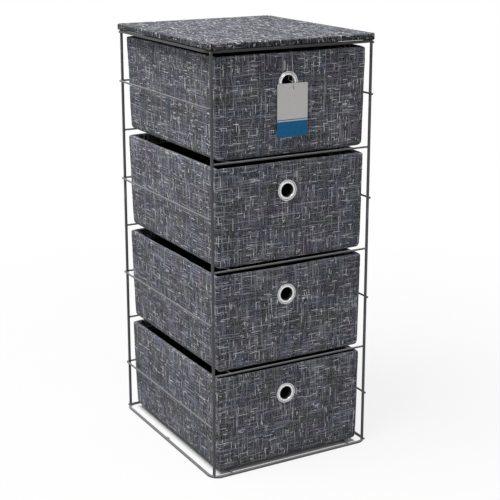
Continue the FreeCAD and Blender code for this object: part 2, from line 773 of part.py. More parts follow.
def make_tag_loop():
    """A stiff plastic loop: through the card's hole, in at the eyelet, up behind the wall and back
    over the rim.
    """
    radius = value("Sizes.loop_thick") / 2
    off = value("Sizes.loop_gap") + radius
    face = value(DRAWER_FRONT)
    rim = value(f"{drawer_bottom(1)} + {DRAWER_HEIGHT}")
    card_half = value("Sizes.tag_thick") / 2
    hole = value(TAG_HOLE_Z)
    before_card = value(TAG_Y) - card_half - off
    behind_card = value(TAG_Y) + card_half + off
    curl_end = value(f"{LINING_INSIDE} + Sizes.washer_thick + Sizes.curl_thick")
    inside = face + curl_end + off
    through = hole + value("Sizes.tag_hole_drop + Sizes.tag_below + Sizes.loop_thick")
    x = -value("Sizes.tag_left")
    route = (
        (before_card, hole),
        (behind_card, hole),
        (behind_card, through),
        (inside, through),
        (inside, rim + off),
        (face - off, rim + off),
        (before_card, through),
    )
    points = [FreeCAD.Vector(x, y, z) for y, z in route]
    path = blunt_loop(points, value("Sizes.loop_bend"))
    start = path.Edges[1]
    middle = start.valueAt((start.FirstParameter + start.LastParameter) / 2)
    section = Part.Wire(Part.Circle(middle, start.tangentAt(start.FirstParameter), radius).toShape())
    loop = doc.addObject("Part::Feature", "tag_loop")
    mitred = 1
    loop.Shape = path.makePipeShell([section], True, False, mitred)
    keep(loop, "tag_loop")


# ---------------------------------------------------------------- the lid

LID_BOTTOM = f"({TOP_RING_Z} + Sizes.heavy_wire / 2 + Sizes.lid_gap)"


def lid_outline(body, name, inset, level):
    """The lid's plan, inset all round, with corners about the same centres."""
    half_x = f"({RING_X} + Sizes.heavy_wire / 2 - Sizes.lid_setback - {inset})"
    half_y = f"({RING_Y} + Sizes.heavy_wire / 2 - Sizes.lid_setback - {inset})"
    outline = new_sketch(body, name, "XY_Plane", z=level)
    draw_rounded_box(outline, half_x, half_y, f"Sizes.lid_corner - {inset}")
    return outline


def make_lid_cover():
    """Tweed wrapped over the board's top and sides and turned in below as a hem."""
    body = new_body("lid_cover", z=LID_BOTTOM)
    plan = lid_outline(body, "lid_cover_plan", "0", "0")
    block = pad(body, "lid_cover_block", plan, "Sizes.lid_thick")
    top = fillet(body, "lid_cover_top", block, "Sizes.lid_edge", level_at("Sizes.lid_thick"))
    chamfer(body, "lid_cover_under", top, "Sizes.lid_under_edge", level_at("0"))
    space = lid_outline(body, "lid_space_plan", "Sizes.cover_cloth", "Sizes.cover_cloth")
    hollow = pocket(
        body, "lid_space", space, "Sizes.lid_thick - 2 * Sizes.cover_cloth", forwards=True
    )
    chamfer(
        body, "lid_space_top", hollow, "Sizes.lid_edge - Sizes.cover_cloth",
        level_at("Sizes.lid_thick - Sizes.cover_cloth"),
    )
    window = new_sketch(body, "lid_window_plan", "XY_Plane")
    draw_lid_window(window, "0")
    pocket(body, "lid_window", window, "1.5 * Sizes.cover_cloth", forwards=True)
    keep(body, "lid_cover")


def draw_lid_window(sketch, inset):
    """The rectangle that the hem leaves open."""
    inwards = f"Sizes.heavy_wire / 2 - Sizes.lid_setback - Sizes.lid_hem - {inset}"
    draw_box(sketch, f"({RING_X} + {inwards})", f"({RING_Y} + {inwards})")


def make_lid_board():
    """The stiff panel inside the lid."""
    body = new_body("lid_board", z=LID_BOTTOM)
    inset = "(Sizes.cover_cloth + Sizes.cloth_gap)"
    plan = lid_outline(body, "lid_board_plan", inset, inset)
    panel = pad(body, "lid_board_panel", plan, f"Sizes.lid_thick - 2 * {inset}")
    chamfer(
        body, "lid_board_edge", panel, f"Sizes.lid_edge - {inset}",
        level_at(f"Sizes.lid_thick - {inset}"),
    )
    keep(body, "lid_board")


def make_lid_backing():
    """Black cloth that closes the underside inside the hem."""
    body = new_body("lid_backing", z=LID_BOTTOM)
    plan = new_sketch(body, "lid_backing_plan", "XY_Plane")
    draw_lid_window(plan, "Sizes.cloth_gap")
    pad(body, "lid_backing_sheet", plan, "Sizes.cover_cloth")
    keep(body, "lid_backing")


# ---------------------------------------------------------------- build, check and write


def check_document():
    """Stops on a failed object, an empty or broken piece, and a cut that took nothing away."""
    for item in doc.Objects:
        if "Invalid" in item.State or "Error" in item.State:
            raise RuntimeError(f"{item.Name} did not compute")
        before = {"PartDesign::Pocket": "BaseFeature", "Part::Cut": "Base"}.get(item.TypeId)
        if before and item.Shape.Volume > getattr(item, before).Shape.Volume - 0.1:
            raise RuntimeError(f"{item.Name} cuts nothing")
    for piece in pieces:
        if piece.Shape.isNull() or not piece.Shape.isValid() or not piece.Shape.Solids:
            raise RuntimeError(f"{piece.Label} has no sound shape")


def write_pieces():
    """One STEP file for each piece, named by its label."""
    os.makedirs("parts", exist_ok=True)
    for piece in pieces:
        piece.Shape.exportStep(f"parts/{piece.Label}.step")


make_frame()
for drawer_number in range(1, DRAWERS + 1):
    make_drawer(drawer_number)
make_tag_card()
make_tag_loop()
make_lid_cover()
make_lid_board()
make_lid_backing()
doc.recompute()
check_document()
write_pieces()
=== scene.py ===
"""The looks of a four-drawer fabric tower that stands in a welded wire frame.

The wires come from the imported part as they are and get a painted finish. Soft covers, linings, hems,
eyelets, the wrapped lid and the weld beads are surfaces worked out here. Lengths are metres.
"""

from __future__ import annotations

import logging
import math
from dataclasses import dataclass, field
from enum import Enum
from typing import Any, Optional, Sequence, Union

import bmesh
import bpy
import numpy as np
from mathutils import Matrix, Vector


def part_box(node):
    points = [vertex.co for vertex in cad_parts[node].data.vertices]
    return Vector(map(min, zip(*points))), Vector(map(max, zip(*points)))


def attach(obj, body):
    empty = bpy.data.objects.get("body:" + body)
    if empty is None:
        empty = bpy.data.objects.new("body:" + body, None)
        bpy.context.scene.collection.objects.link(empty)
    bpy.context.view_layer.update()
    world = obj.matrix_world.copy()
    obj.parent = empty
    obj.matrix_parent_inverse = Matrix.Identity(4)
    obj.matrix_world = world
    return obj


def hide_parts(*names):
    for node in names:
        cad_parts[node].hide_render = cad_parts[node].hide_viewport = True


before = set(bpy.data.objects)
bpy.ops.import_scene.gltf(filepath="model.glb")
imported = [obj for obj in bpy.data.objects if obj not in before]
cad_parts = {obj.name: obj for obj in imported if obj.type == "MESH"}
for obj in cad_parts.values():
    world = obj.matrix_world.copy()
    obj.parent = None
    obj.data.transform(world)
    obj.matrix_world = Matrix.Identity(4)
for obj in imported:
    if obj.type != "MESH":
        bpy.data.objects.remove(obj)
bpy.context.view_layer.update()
LOG = logging.getLogger("drawer_tower")
MM = 0.001
DRAWERS = (1, 2, 3, 4)
SHELVES = (1, 2, 3)
WAVES = 9

Array = np.ndarray
Material = bpy.types.Material
Object = bpy.types.Object
Colour = tuple[float, float, float]


class Body(Enum):
    """The bodies that new pieces ride on."""

    FRAME = "frame"
    DRAWER_1 = "drawer_1"
    DRAWER_2 = "drawer_2"
    DRAWER_3 = "drawer_3"
    DRAWER_4 = "drawer_4"
    LID = "lid"


class Slot(Enum):
    """The record's material slots."""

    WIRE = "wire"
    TWEED = "tweed"
    LID_TWEED = "lid_tweed"
    BLACK_CLOTH = "black_cloth"
    EYELET = "eyelet_metal"


# ------------------------------------------------------------------ finishes


@dataclass(frozen=True)
class Term:
    """A value that a graph's nodes work out. What is added to it or multiplied by it makes a Math node."""

    graph: Graph
    socket: bpy.types.NodeSocket

    def __add__(self, other: Number) -> Term:
        """The sum."""
        return self.graph.calc("ADD", self, other)

    def __sub__(self, other: Number) -> Term:
        """The difference."""
        return self.graph.calc("SUBTRACT", self, other)

    def __rsub__(self, other: float) -> Term:
        """A number less this."""
        return self.graph.calc("SUBTRACT", other, self)

    def __mul__(self, other: Number) -> Term:
        """The product."""
        return self.graph.calc("MULTIPLY", self, other)

    def __truediv__(self, other: Number) -> Term:
        """The quotient."""
        return self.graph.calc("DIVIDE", self, other)

    def __abs__(self) -> Term:
        """The value without its sign."""
        return self.graph.calc("ABSOLUTE", self)

    def step(self, low: float, high: float, start: float = 0.0, end: float = 1.0) -> Term:
        """A smooth step from start to end, as this goes from low to high."""
        inputs = dict(enumerate((self, low, high, start, end)))
        return self.graph.term("ShaderNodeMapRange", inputs, interpolation_type="SMOOTHSTEP")


Number = Union[Term, float]


class Graph:
    """The nodes of one material, or of the world, with sums and noises written as short calls."""

    def __init__(self, owner: Union[Material, bpy.types.World]) -> None:
        """Takes up the nodes that a new material or world has."""
        owner.use_nodes = True
        self.nodes, self.links = owner.node_tree.nodes, owner.node_tree.links

    def own(self, kind: str) -> bpy.types.Node:
        """The node of a kind that was there from the start."""
        return next(n for n in self.nodes if n.type == kind)

    def feed(self, socket: bpy.types.NodeSocket, value: Any) -> None:
        """Links a socket to a term, or sets its own number or colour.

        Args:
            socket: the input.
            value: the term, number or colour.
        """
        if isinstance(value, Term):
            self.links.new(value.socket, socket)
        else:
            socket.default_value = (*value, 1.0) if isinstance(value, tuple) else value

    def node(self, kind: str, inputs: dict[Any, Any], **settings: Any) -> bpy.types.Node:
        """Adds a node.

        Args:
            kind: Blender's name of the node type.
            inputs: what its inputs take, by name or number.
            settings: the node's own properties.

        Returns:
            The node.
        """
        made = self.nodes.new(kind)
        for key, value in settings.items():
            setattr(made, key, value)
        for key, value in inputs.items():
            self.feed(made.inputs[key], value)
        return made

    def term(self, kind: str, inputs: dict[Any, Any], output: Union[int, str] = 0, **settings: Any) -> Term:
        """Adds a node and takes one of its outputs."""
        return Term(self, self.node(kind, inputs, **settings).outputs[output])

    def calc(self, operation: str, *numbers: Number) -> Term:
        """One Math node on up to three numbers."""
        return self.term("ShaderNodeMath", dict(enumerate(numbers)), operation=operation)

    def blend(self, share: Number, first: Any, second: Any) -> Term:
        """A colour between two, by share."""
        inputs = {0: share, 6: first, 7: second}
        return self.term("ShaderNodeMix", inputs, 2, data_type="RGBA", clamp_factor=True)

    def mottled(self, share: Term, colour: Colour, gain: float) -> Term:
        """A colour that goes over to gain times itself, by share."""
        return self.blend(share, colour, tuple(gain * c for c in colour))

    def scaled(self, colour: Term, share: Term) -> Term:
        """A colour times a number."""
        return self.term("ShaderNodeVectorMath", {0: colour, "Scale": share}, operation="SCALE")

    def vector(self, x: Number, y: Number, z: Number = 0.0) -> Term:
        """A vector from its three parts."""
        return self.term("ShaderNodeCombineXYZ", {0: x, 1: y, 2: z})

    def parts(self, vector: Term) -> list[Term]:
        """The three parts of a vector."""
        return [Term(self, part) for part in self.node("ShaderNodeSeparateXYZ", {0: vector}).outputs]

    def noise(self, scale: float, detail: float = 2.0, rough: float = 0.5, at: Optional[Term] = None,
              cloth: bool = False) -> Term:
        """Soft noise between 0 and 1, in the piece's own space or along its cloth.

        Args:
            scale: how many grains there are to the metre.
            detail: number of finer layers.
            rough: how strong each finer layer is.
            at: where it is read, if not at the point itself.
            cloth: reads it on two coordinates, those of the cloth.

        Returns:
            The noise's value.
        """
        at = at or (self.cloth() if cloth else self.place())
        inputs = {"Vector": at, "Scale": scale, "Detail": detail, "Roughness": rough}
        return self.term("ShaderNodeTexNoise", inputs, noise_dimensions="2D" if cloth else "3D")

    def place(self) -> Term:
        """The point on the piece, in its own frame."""
        return self.term("ShaderNodeTexCoord", {}, "Object")

    def cloth(self) -> Term:
        """The point on the cloth, in metres along its two yarns."""
        return self.term("ShaderNodeUVMap", {}, uv_map="cloth")

    def seen(self) -> Term:
        """Tells the rays to which the studio is plain white.

        Returns:
            1 for camera, glossy and transmitted rays, and 0 for others.
        """
        ray = self.node("ShaderNodeLightPath", {}).outputs
        kinds = ("Camera", "Glossy", "Transmission")
        eye, gloss, glass = (Term(self, ray[f"Is {kind} Ray"]) for kind in kinds)
        return self.calc("MAXIMUM", self.calc("MAXIMUM", eye, gloss), glass)

    def bump(self, height: Term, distance: float, strength: float) -> None:
        """Raises the surface by height times distance."""
        inputs = {"Height": height, "Distance": distance, "Strength": strength}
        self.surface(Normal=self.term("ShaderNodeBump", inputs))

    def surface(self, **values: Any) -> None:
        """Sets the shader's inputs, whose names are written with underscores."""
        for key, value in values.items():
            self.feed(self.own("BSDF_PRINCIPLED").inputs[key.replace("_", " ")], value)


class Finish:
    """A named material that is drawn on a graph."""

    name: str

    def draw(self, g: Graph) -> None:
        """Adds the material's nodes to its graph g."""
        raise NotImplementedError

    def make(self) -> Material:
        """Makes the material.

        Returns:
            The material.
        """
        material = bpy.data.materials.new(self.name)
        self.draw(Graph(material))
        return material


@dataclass(frozen=True)
class Slub:
    """One kind of thick place in a yarn: its colour, how wide and long it is, and how seldom it comes."""

    colour: Colour
    pitch: float
    length: float
    low: float
    high: float
    shift: float


@dataclass(frozen=True)
class Tweed(Finish):
    """Plain-woven cloth of dark yarns, with pale slubs along both, black flecks and drifting tints.

    The cloth's first coordinate runs along the weft and the second along the warp. A painted highlight
    makes it paler where the second is near rim, along the fold over a drawer's rim. Painted shade darkens
    the gaps between the yarns, and the cloth past the two half widths of its flat part, where it is turned
    in, most of all at the corners.
    """

    name: str
    deep: float = 0.020
    mid: float = 0.122
    light: float = 0.315
    cool: Colour = (0.89, 0.99, 1.24)
    warm: Colour = (1.04, 0.94, 1.18)
    moss: Colour = (0.98, 1.02, 1.06)
    fleck: Colour = (0.008, 0.008, 0.010)
    pitch: float = 0.85 * MM
    wander: float = 1.2 * MM
    long_run: float = 42 * MM
    short_run: float = 2.6 * MM
    fleck_grain: float = 1.5 * MM
    fleck_low: float = 0.58
    fleck_high: float = 0.67
    relief: float = 0.22 * MM
    # rim: the cloth height of a painted highlight along the fold over a drawer's rim; 0 leaves it out.
    rim: float = 0.0
    painted_shade_edges: tuple[float, ...] = ()
    slubs: tuple[Slub, ...] = (
        Slub((0.45, 0.46, 0.53), 0.7 * MM, 55 * MM, 0.60, 0.70, 19.7),
        Slub((1.0, 1.0, 1.0), 0.8 * MM, 28 * MM, 0.70, 0.73, 53.9),
    )

    def yarn(self, g: Graph, along: Term, index: Term, shift: float, length: float) -> Term:
        """Noise with grains of a given length along a yarn, which jumps from one yarn to the next."""
        across = g.calc("MULTIPLY_ADD", index, 5.37, shift)
        return g.noise(1.0, at=g.vector(along / length, across), cloth=True)

    def spindles(self, g: Graph, kind: Slub, along: Term, across: Term, shift: float) -> Term:
        """Spindles along the yarns: thin where they start and end, as wide as a yarn at the middle.

        The yarn's noise, stepped from the slub's low to its high, is the spindle's strength. A point shows
        it where that strength passes 0.6 times its distance from the yarn's middle, in half widths.

        Args:
            g: the material's graph.
            kind: the slub.
            along: distance along the yarns.
            across: distance across them.
            shift: keeps these spindles apart from the others.

        Returns:
            How strongly the spindle shows.
        """
        place = across / kind.pitch
        strength = self.yarn(g, along, g.calc("FLOOR", place), shift, kind.length).step(kind.low, kind.high)
        off = abs(g.calc("FRACT", place) * 2.0 - 1.0)
        return (strength - off * 0.6).step(0.0, 0.3) * (strength * 0.7 + 0.3)

    def draw(self, g: Graph) -> None:
        """Weaves and tints the yarns, lays flecks and slubs, and paints shade in yarn gaps and at turned-in
        edges.

        Args:
            g: the material's graph.
        """
        u, v, _ = g.parts(g.cloth())
        wander = g.noise(60.0, 1.0, cloth=True)
        side, up = ((wander - 0.5) * self.wander + t for t in (u, v))
        warp, weft = side / self.pitch, up / self.pitch
        i, j = g.calc("FLOOR", warp), g.calc("FLOOR", weft)
        over = g.calc("FLOORED_MODULO", i + j, 2.0)

        def woven(first: Term, second: Term) -> Term:
            """The first where the warp lies on top, and the second where the weft does."""
            return first * over + second * (1.0 - over)

        tone = woven(*((self.yarn(g, along, index, shift, self.long_run)
                        + self.yarn(g, along, index, shift + 9.2, self.short_run)) * 0.5
                       for along, index, shift in ((v, i, 3.1), (u, j, 71.3))))
        value = tone.step(0.39, 0.49, self.deep, self.mid) + tone.step(0.48, 0.62, 0.0, self.light - self.mid)
        # Painted highlight: paler where the cloth folds over the drawer's rim, as if lit from above.
        if self.rim:
            value *= (wander * (3 * MM) + abs(v - self.rim)).step(8 * MM, 3 * MM, 1.0, 1.5)
        tint = g.noise(17.0, cloth=True).step(0.36, 0.64)
        patch = g.noise(26.0, 1.0, at=g.vector(v, u), cloth=True).step(0.42, 0.68)
        ground = g.blend(patch, g.blend(tint, self.cool, self.warm), self.moss)
        fleck = g.noise(1.0 / self.fleck_grain, 1.0, cloth=True).step(self.fleck_low, self.fleck_high)
        colour = g.blend(fleck, g.scaled(ground, value), self.fleck)
        thick: Number = 0.0
        for kind in self.slubs:
            slub = g.calc("MAXIMUM", self.spindles(g, kind, v, side, kind.shift),
                          self.spindles(g, kind, u, up, kind.shift + 24.2))
            colour = g.blend(slub, colour, kind.colour)
            thick = g.calc("MAXIMUM", thick, slub)
        # Painted shade: the crown darkens the gaps between the yarns.
        crown = woven(*(g.calc("SINE", g.calc("FRACT", t) * math.pi) for t in (warp, weft)))
        shade = crown.step(0.0, 0.7, 0.55, 1.0)
        # Painted shade: darker past the flat part's edges, where the cloth turns in, and darker still at the
        # corners.
        if self.painted_shade_edges:
            past = [abs(at) - edge for at, edge in zip((u, v), self.painted_shade_edges)]
            for edge in past:
                shade *= edge.step(5 * MM, 9 * MM, 1.0, 0.48)
            shade *= 1.0 - past[0].step(-5 * MM, 4 * MM) * past[1].step(-5 * MM, 4 * MM) * 0.55
        g.surface(Base_Color=g.scaled(colour, shade), Roughness=0.92, Sheen_Weight=0.04, Sheen_Roughness=0.45,
                  Specular_IOR_Level=0.12)
        fuzz = g.noise(3200.0, 2.0, 0.7, cloth=True)
        g.bump(thick * 0.6 + crown + fuzz * 0.5, self.relief, 0.7)


@dataclass(frozen=True)
class BlackCloth(Finish):
    """Black lining cloth with a fine even weave."""

    name: str = "black lining cloth"
    base: Colour = (0.010, 0.010, 0.011)
    pitch: float = 0.55 * MM

    def draw(self, g: Graph) -> None:
        """Multiplies a wave along each yarn and lets paler dust drift over them.

        Args:
            g: the material's graph.
        """
        warp, weft = (g.calc("SINE", t * (math.pi / self.pitch)) for t in g.parts(g.cloth())[:2])
        dust_and_shade = g.noise(35.0, 3.0, 0.6, cloth=True)
        g.surface(Base_Color=g.mottled(dust_and_shade.step(0.3, 0.75), self.base, 2.1), Roughness=0.88,
                  Sheen_Weight=0.05, Specular_IOR_Level=0.2)
        g.bump(dust_and_shade * 0.8 + warp * weft, 0.08 * MM, 0.6)


@dataclass(frozen=True)
class PaintedWire(Finish):
    """Drawn steel wire under dark grey paint, with a painted highlight on its upper side and rubbed clouds.
    """

    name: str = "dark grey painted wire"
    base: Colour = (0.085, 0.083, 0.090)
    lit_top_and_rubbed: Colour = (0.265, 0.262, 0.275)

    def draw(self, g: Graph) -> None:
        """Paints the upward side paler as a highlight, rubs scattered clouds, over a fine orange peel.

        Args:
            g: the material's graph.
        """
        peel, cloud = g.noise(900.0, 2.0, 0.55), g.noise(48.0, 4.0, 0.6)
        upward = g.parts(g.term("ShaderNodeNewGeometry", {}, "Normal"))[2]
        # Painted highlight on the upward side, mixed with rubbed wear in scattered clouds.
        lit_top_and_rub = g.calc("MAXIMUM", (cloud * 0.5 + upward).step(0.30, 1.05), cloud.step(0.56, 0.72) * 0.4)
        g.surface(Base_Color=g.blend(lit_top_and_rub, self.base, self.lit_top_and_rubbed), Metallic=0.12,
                  Roughness=peel.step(0.2, 0.8, 0.24, 0.36), Specular_IOR_Level=0.22)
        g.bump(peel, 0.05 * MM, 0.5)


@dataclass(frozen=True)
class BrightMetal(Finish):
    """Nickel-plated pressed steel, darker in the groove, painted shade in the bore. The cloth map's second
    part is the radius.
    """

    name: str = "bright nickel plate"
    base: Colour = (0.70, 0.70, 0.71)
    groove_and_bore_dark: Colour = (0.16, 0.16, 0.17)
    bore: float = 10.4 * MM
    groove: float = 14.3 * MM
    groove_half: float = 0.75 * MM

    def draw(self, g: Graph) -> None:
        """Darkens the groove, paints shade into the bore, and smears the rest a little.

        Args:
            g: the material's graph.
        """
        smear, radius = g.noise(160.0, 3.0, 0.6), g.parts(g.cloth())[1]
        off = smear * (0.3 * MM) + abs(radius - self.groove)
        groove = off.step(self.groove_half, 0.2 * self.groove_half)
        # Darker in the groove, and painted shade in the bore, where the barrel would reflect the dark drawer.
        dust_and_shade = g.calc("MAXIMUM", groove, radius.step(self.bore, 0.97 * self.bore))
        g.surface(Base_Color=g.blend(dust_and_shade, g.mottled(smear.step(0.35, 0.75), self.base, 0.78), self.groove_and_bore_dark),
                  Metallic=1.0, Roughness=dust_and_shade * 0.3 + smear.step(0.3, 0.7, 0.13, 0.27))
        g.bump(g.noise(1900.0, 1.0), 0.02 * MM, 0.4)


@dataclass(frozen=True)
class GreyBoard(Finish):
    """Pressed grey board with short fibres."""

    name: str = "pressed grey board"
    dark: Colour = (0.19, 0.165, 0.135)
    pale: Colour = (0.34, 0.31, 0.27)
    dust_and_shade: Colour = (0.25, 0.23, 0.2)

    def draw(self, g: Graph) -> None:
        """Draws the fibres out along x and z and clouds them over.

        Args:
            g: the material's graph.
        """
        x, y, z = g.parts(g.place())
        fibre = g.noise(700.0, 3.0, 0.65, at=g.vector(x * 0.25, y, z * 0.5))
        colour = g.blend(fibre.step(0.3, 0.7), self.dark, self.pale)
        cloud = g.noise(22.0, 3.0).step(0.45, 0.8)
        g.surface(Base_Color=g.blend(cloud, colour, self.dust_and_shade), Roughness=0.9, Specular_IOR_Level=0.25)
        g.bump(fibre, 0.1 * MM, 0.5)


@dataclass(frozen=True)
class PrintedCard(Finish):
    """Pale satin card with a plain blue band along its lower end, and a thin line above the band.

    low and high are the heights of its ends, and band_share is the band's share of the card.
    """

    low: float
    high: float
    name: str = "pale card with a blue band"
    paper: Colour = (0.70, 0.69, 0.675)
    band: Colour = (0.008, 0.125, 0.285)
    band_share: float = 0.29

    def draw(self, g: Graph) -> None:
        """Inks the band and the line over paper with a fine pulp.

        Args:
            g: the material's graph.
        """
        above = (g.parts(g.place())[2] - self.low) / (self.high - self.low) - self.band_share
        ink = g.calc("MAXIMUM", above.step(0.004, 0.0), above.step(0.022, 0.026) * above.step(0.042, 0.038))
        pulp = g.noise(520.0, 3.0, 0.6)
        paper, blue = (g.mottled(pulp.step(0.3, 0.7), colour, gain)
                       for colour, gain in ((self.paper, 1.09), (self.band, 1.25)))
        g.surface(Base_Color=g.blend(ink, paper, blue), Roughness=pulp.step(0.2, 0.8, 0.42, 0.56),
                  Specular_IOR_Level=0.2)
        g.bump(pulp, 0.03 * MM, 0.4)


@dataclass(frozen=True)
class ClearStrand(Finish):
    """Clear nylon with small drawn streaks."""

    name: str = "clear nylon strand"

    def draw(self, g: Graph) -> None:
        """Streaks the nylon.

        Args:
            g: the material's graph.
        """
        streak = g.noise(1300.0, 1.0)
        g.surface(Base_Color=g.blend(streak, (0.78,) * 3, (0.93,) * 3), Roughness=0.18, IOR=1.53,
                  Transmission_Weight=0.55)
        g.bump(streak, 0.02 * MM, 0.4)


@dataclass(frozen=True)
class SewingThread(Finish):
    """Twisted dark thread."""

    name: str = "dark sewing thread"
    base: Colour = (0.035, 0.035, 0.04)

    def draw(self, g: Graph) -> None:
        """Twists paler bands round the thread.

        Args:
            g: the material's graph.
        """
        inputs = {"Vector": g.place(), "Scale": 900.0, "Distortion": 1.5}
        twist = g.term("ShaderNodeTexWave", inputs, "Fac", bands_direction="DIAGONAL")
        g.surface(Base_Color=g.mottled(twist, self.base, 2.4), Roughness=0.6, Sheen_Weight=0.2)
        g.bump(twist, 0.05 * MM, 0.5)


@dataclass(frozen=True)
class StudioPaper(Finish):
    """White studio paper that reads as white from the camera and in metal, and keeps soft shadows.

    low and high are the corners of the patch under the drawers, where the paper shows its own shade alone.
    """

    low: Vector
    high: Vector
    name: str = "white studio paper"
    glow: float = 0.84
    bounce: float = 0.60

    def draw(self, g: Graph) -> None:
        """Makes most of the paper plain white to the rays that see it, the more so the farther out it is.

        Args:
            g: the material's graph.
        """
        seen = g.seen()
        pale = g.blend(g.noise(40.0, 3.0), (0.93,) * 3, (0.95,) * 3)
        g.surface(Base_Color=g.blend(seen, (self.bounce,) * 3, pale), Roughness=0.95, Specular_IOR_Level=0.0)
        reach = g.term("ShaderNodeVectorMath", {0: g.place()}, "Value", operation="LENGTH")
        share, inside = seen * reach.step(0.3, 1.3, self.glow, 1.0), []
        for at, low, high in zip(g.parts(g.place())[:2], self.low, self.high):
            half = (high - low) / 2
            inside.append(abs(at - (low + high) / 2).step(half, half - 4 * MM))
        share *= 1.0 - inside[0] * inside[1]
        white = g.term("ShaderNodeEmission", {"Color": (1.0, 1.0, 1.0), "Strength": 1.0})
        paper = Term(g, g.own("BSDF_PRINCIPLED").outputs[0])
        g.feed(g.own("OUTPUT_MATERIAL").inputs["Surface"],
               g.term("ShaderNodeMixShader", {0: share, 1: paper, 2: white}))


# ------------------------------------------------------------------ surfaces


def grid(*parts: Any) -> Array:
    """Spreads coordinates to one shape and joins them along a new last axis."""
    return np.stack(np.broadcast_arrays(*parts), axis=-1)


def spaced(stops: Sequence[float], spaces: Sequence[int]) -> Array:
    """Numbers from the first stop to the last, with a given number of even spaces between each two."""
    runs = [np.linspace(a, b, n + 1)[:-1] for a, b, n in zip(stops, stops[1:], spaces)]
    return np.append(np.concatenate(runs), stops[-1])


def gone(line: Array) -> Array:
    """Distance gone along a line of points, 0 at the first of them."""
    return np.concatenate([[0.0], np.cumsum(np.linalg.norm(np.diff(line, axis=0), axis=1))])


def smooth(value: Array, low: float, high: float) -> Array:
    """A smooth step from 0 at low to 1 at high: 3t^2 - 2t^3 of the share t in between."""
    t = np.clip((value - low) / (high - low), 0.0, 1.0)
    return t * t * (3 - 2 * t)


def hump(value: Array, middle: float, width: float) -> Array:
    """A Gaussian: 1 at the middle, 1/e at a width from it."""
    return np.exp(-((value - middle) / width) ** 2)


def ripple(u: Array, v: Array, seed: int, shortest: float, longest: float) -> Array:
    """Gentle unevenness of about -1 to 1: a sum of WAVES sine waves with random directions and phases.

    Args:
        u: first coordinate.
        v: second coordinate.
        seed: picks the waves.
        shortest: shortest wave length.
        longest: longest wave length.

    Returns:
        The height at each point.
    """
    pick = np.random.default_rng(seed)
    length = np.geomspace(shortest, longest, WAVES)
    angle, phase = pick.uniform(0, math.tau, (2, WAVES))
    weight = (length / longest) ** 0.7
    total = sum(w * np.sin(math.tau / n * (math.cos(a) * u + math.sin(a) * v) + p)
                for w, n, a, p in zip(weight, length, angle, phase))
    return total / np.sqrt((weight**2).sum())


def soft_line(control: Any, samples: int) -> Array:
    """A uniform cubic B-spline, which passes near its control points and starts and ends on the outer two.

    Each span weighs its four control points by ((1-t)^3, 3t^3-6t^2+4, -3t^3+3t^2+3t+1, t^3)/6, and the
    outer points are given three times.

    Args:
        control: the control points, one a row.
        samples: number of points wanted.

    Returns:
        The points, one a row.
    """
    c = np.pad(np.array(control, float), ((2, 2), (0, 0)), mode="edge")
    spans = len(c) - 3
    at = np.linspace(0.0, spans, samples)
    k = np.minimum(at.astype(int), spans - 1)
    t = (at - k)[:, None]
    weights = ((1 - t) ** 3, 3 * t**3 - 6 * t**2 + 4, -3 * t**3 + 3 * t**2 + 3 * t + 1, t**3)
    return sum(w * c[k + n] for n, w in enumerate(weights)) / 6.0


def short_threads(start: Array, end: Array, radius: float) -> Array:
    """Capsules on nearly level lines: circles of radius sin(pi s)^0.5 at shares s of each, with closed ends.

    Args:
        start: one end of each thread, (threads, 3).
        end: the other ends.
        radius: the thread's radius.

    Returns:
        The points, (threads, rows, columns, 3).
    """
    s = np.array([0.0, 0.05, 0.25, 0.75, 0.95, 1.0])[:, None]
    angle = np.linspace(0, math.tau, 7)[:, None]
    axis = end - start
    unit = axis / np.linalg.norm(axis, axis=1, keepdims=True)
    first = np.cross(unit, (0, 0, 1))
    first /= np.linalg.norm(first, axis=1, keepdims=True)
    ring = first[:, None] * np.cos(angle) + np.cross(unit, first)[:, None] * np.sin(angle)
    size = radius * np.sqrt(np.clip(np.sin(math.pi * s), 0, 1))
    line = start[:, None] + s * axis[:, None]
    return line[:, :, None] + size[..., None] * ring[:, None]


def lumps(centres: Array, sizes: Array, seed: int) -> Array:
    """Weld beads: ellipsoids whose radius swells by up to an eighth in two slow waves.

    Args:
        centres: middle of each bead, (beads, 3).
        sizes: half lengths along x, y and z, (beads, 3).
        seed: picks the waves' phases.

    Returns:
        The points, (beads, rows, columns, 3).
    """
    phase = np.random.default_rng(seed).uniform(0, math.tau, (len(centres), 2, 1, 1))
    down, turn = np.linspace(0, math.pi, 7)[:, None], np.linspace(0, math.tau, 11)
    swell = 1 + (0.07 * np.sin(3 * turn + phase[:, 0]) + 0.06 * np.sin(4 * down + phase[:, 1])) * np.sin(down)
    unit = grid(np.sin(down) * np.cos(turn), np.sin(down) * np.sin(turn), np.cos(down))
    return centres[:, None, None] + sizes[:, None, None] * unit * swell[..., None]


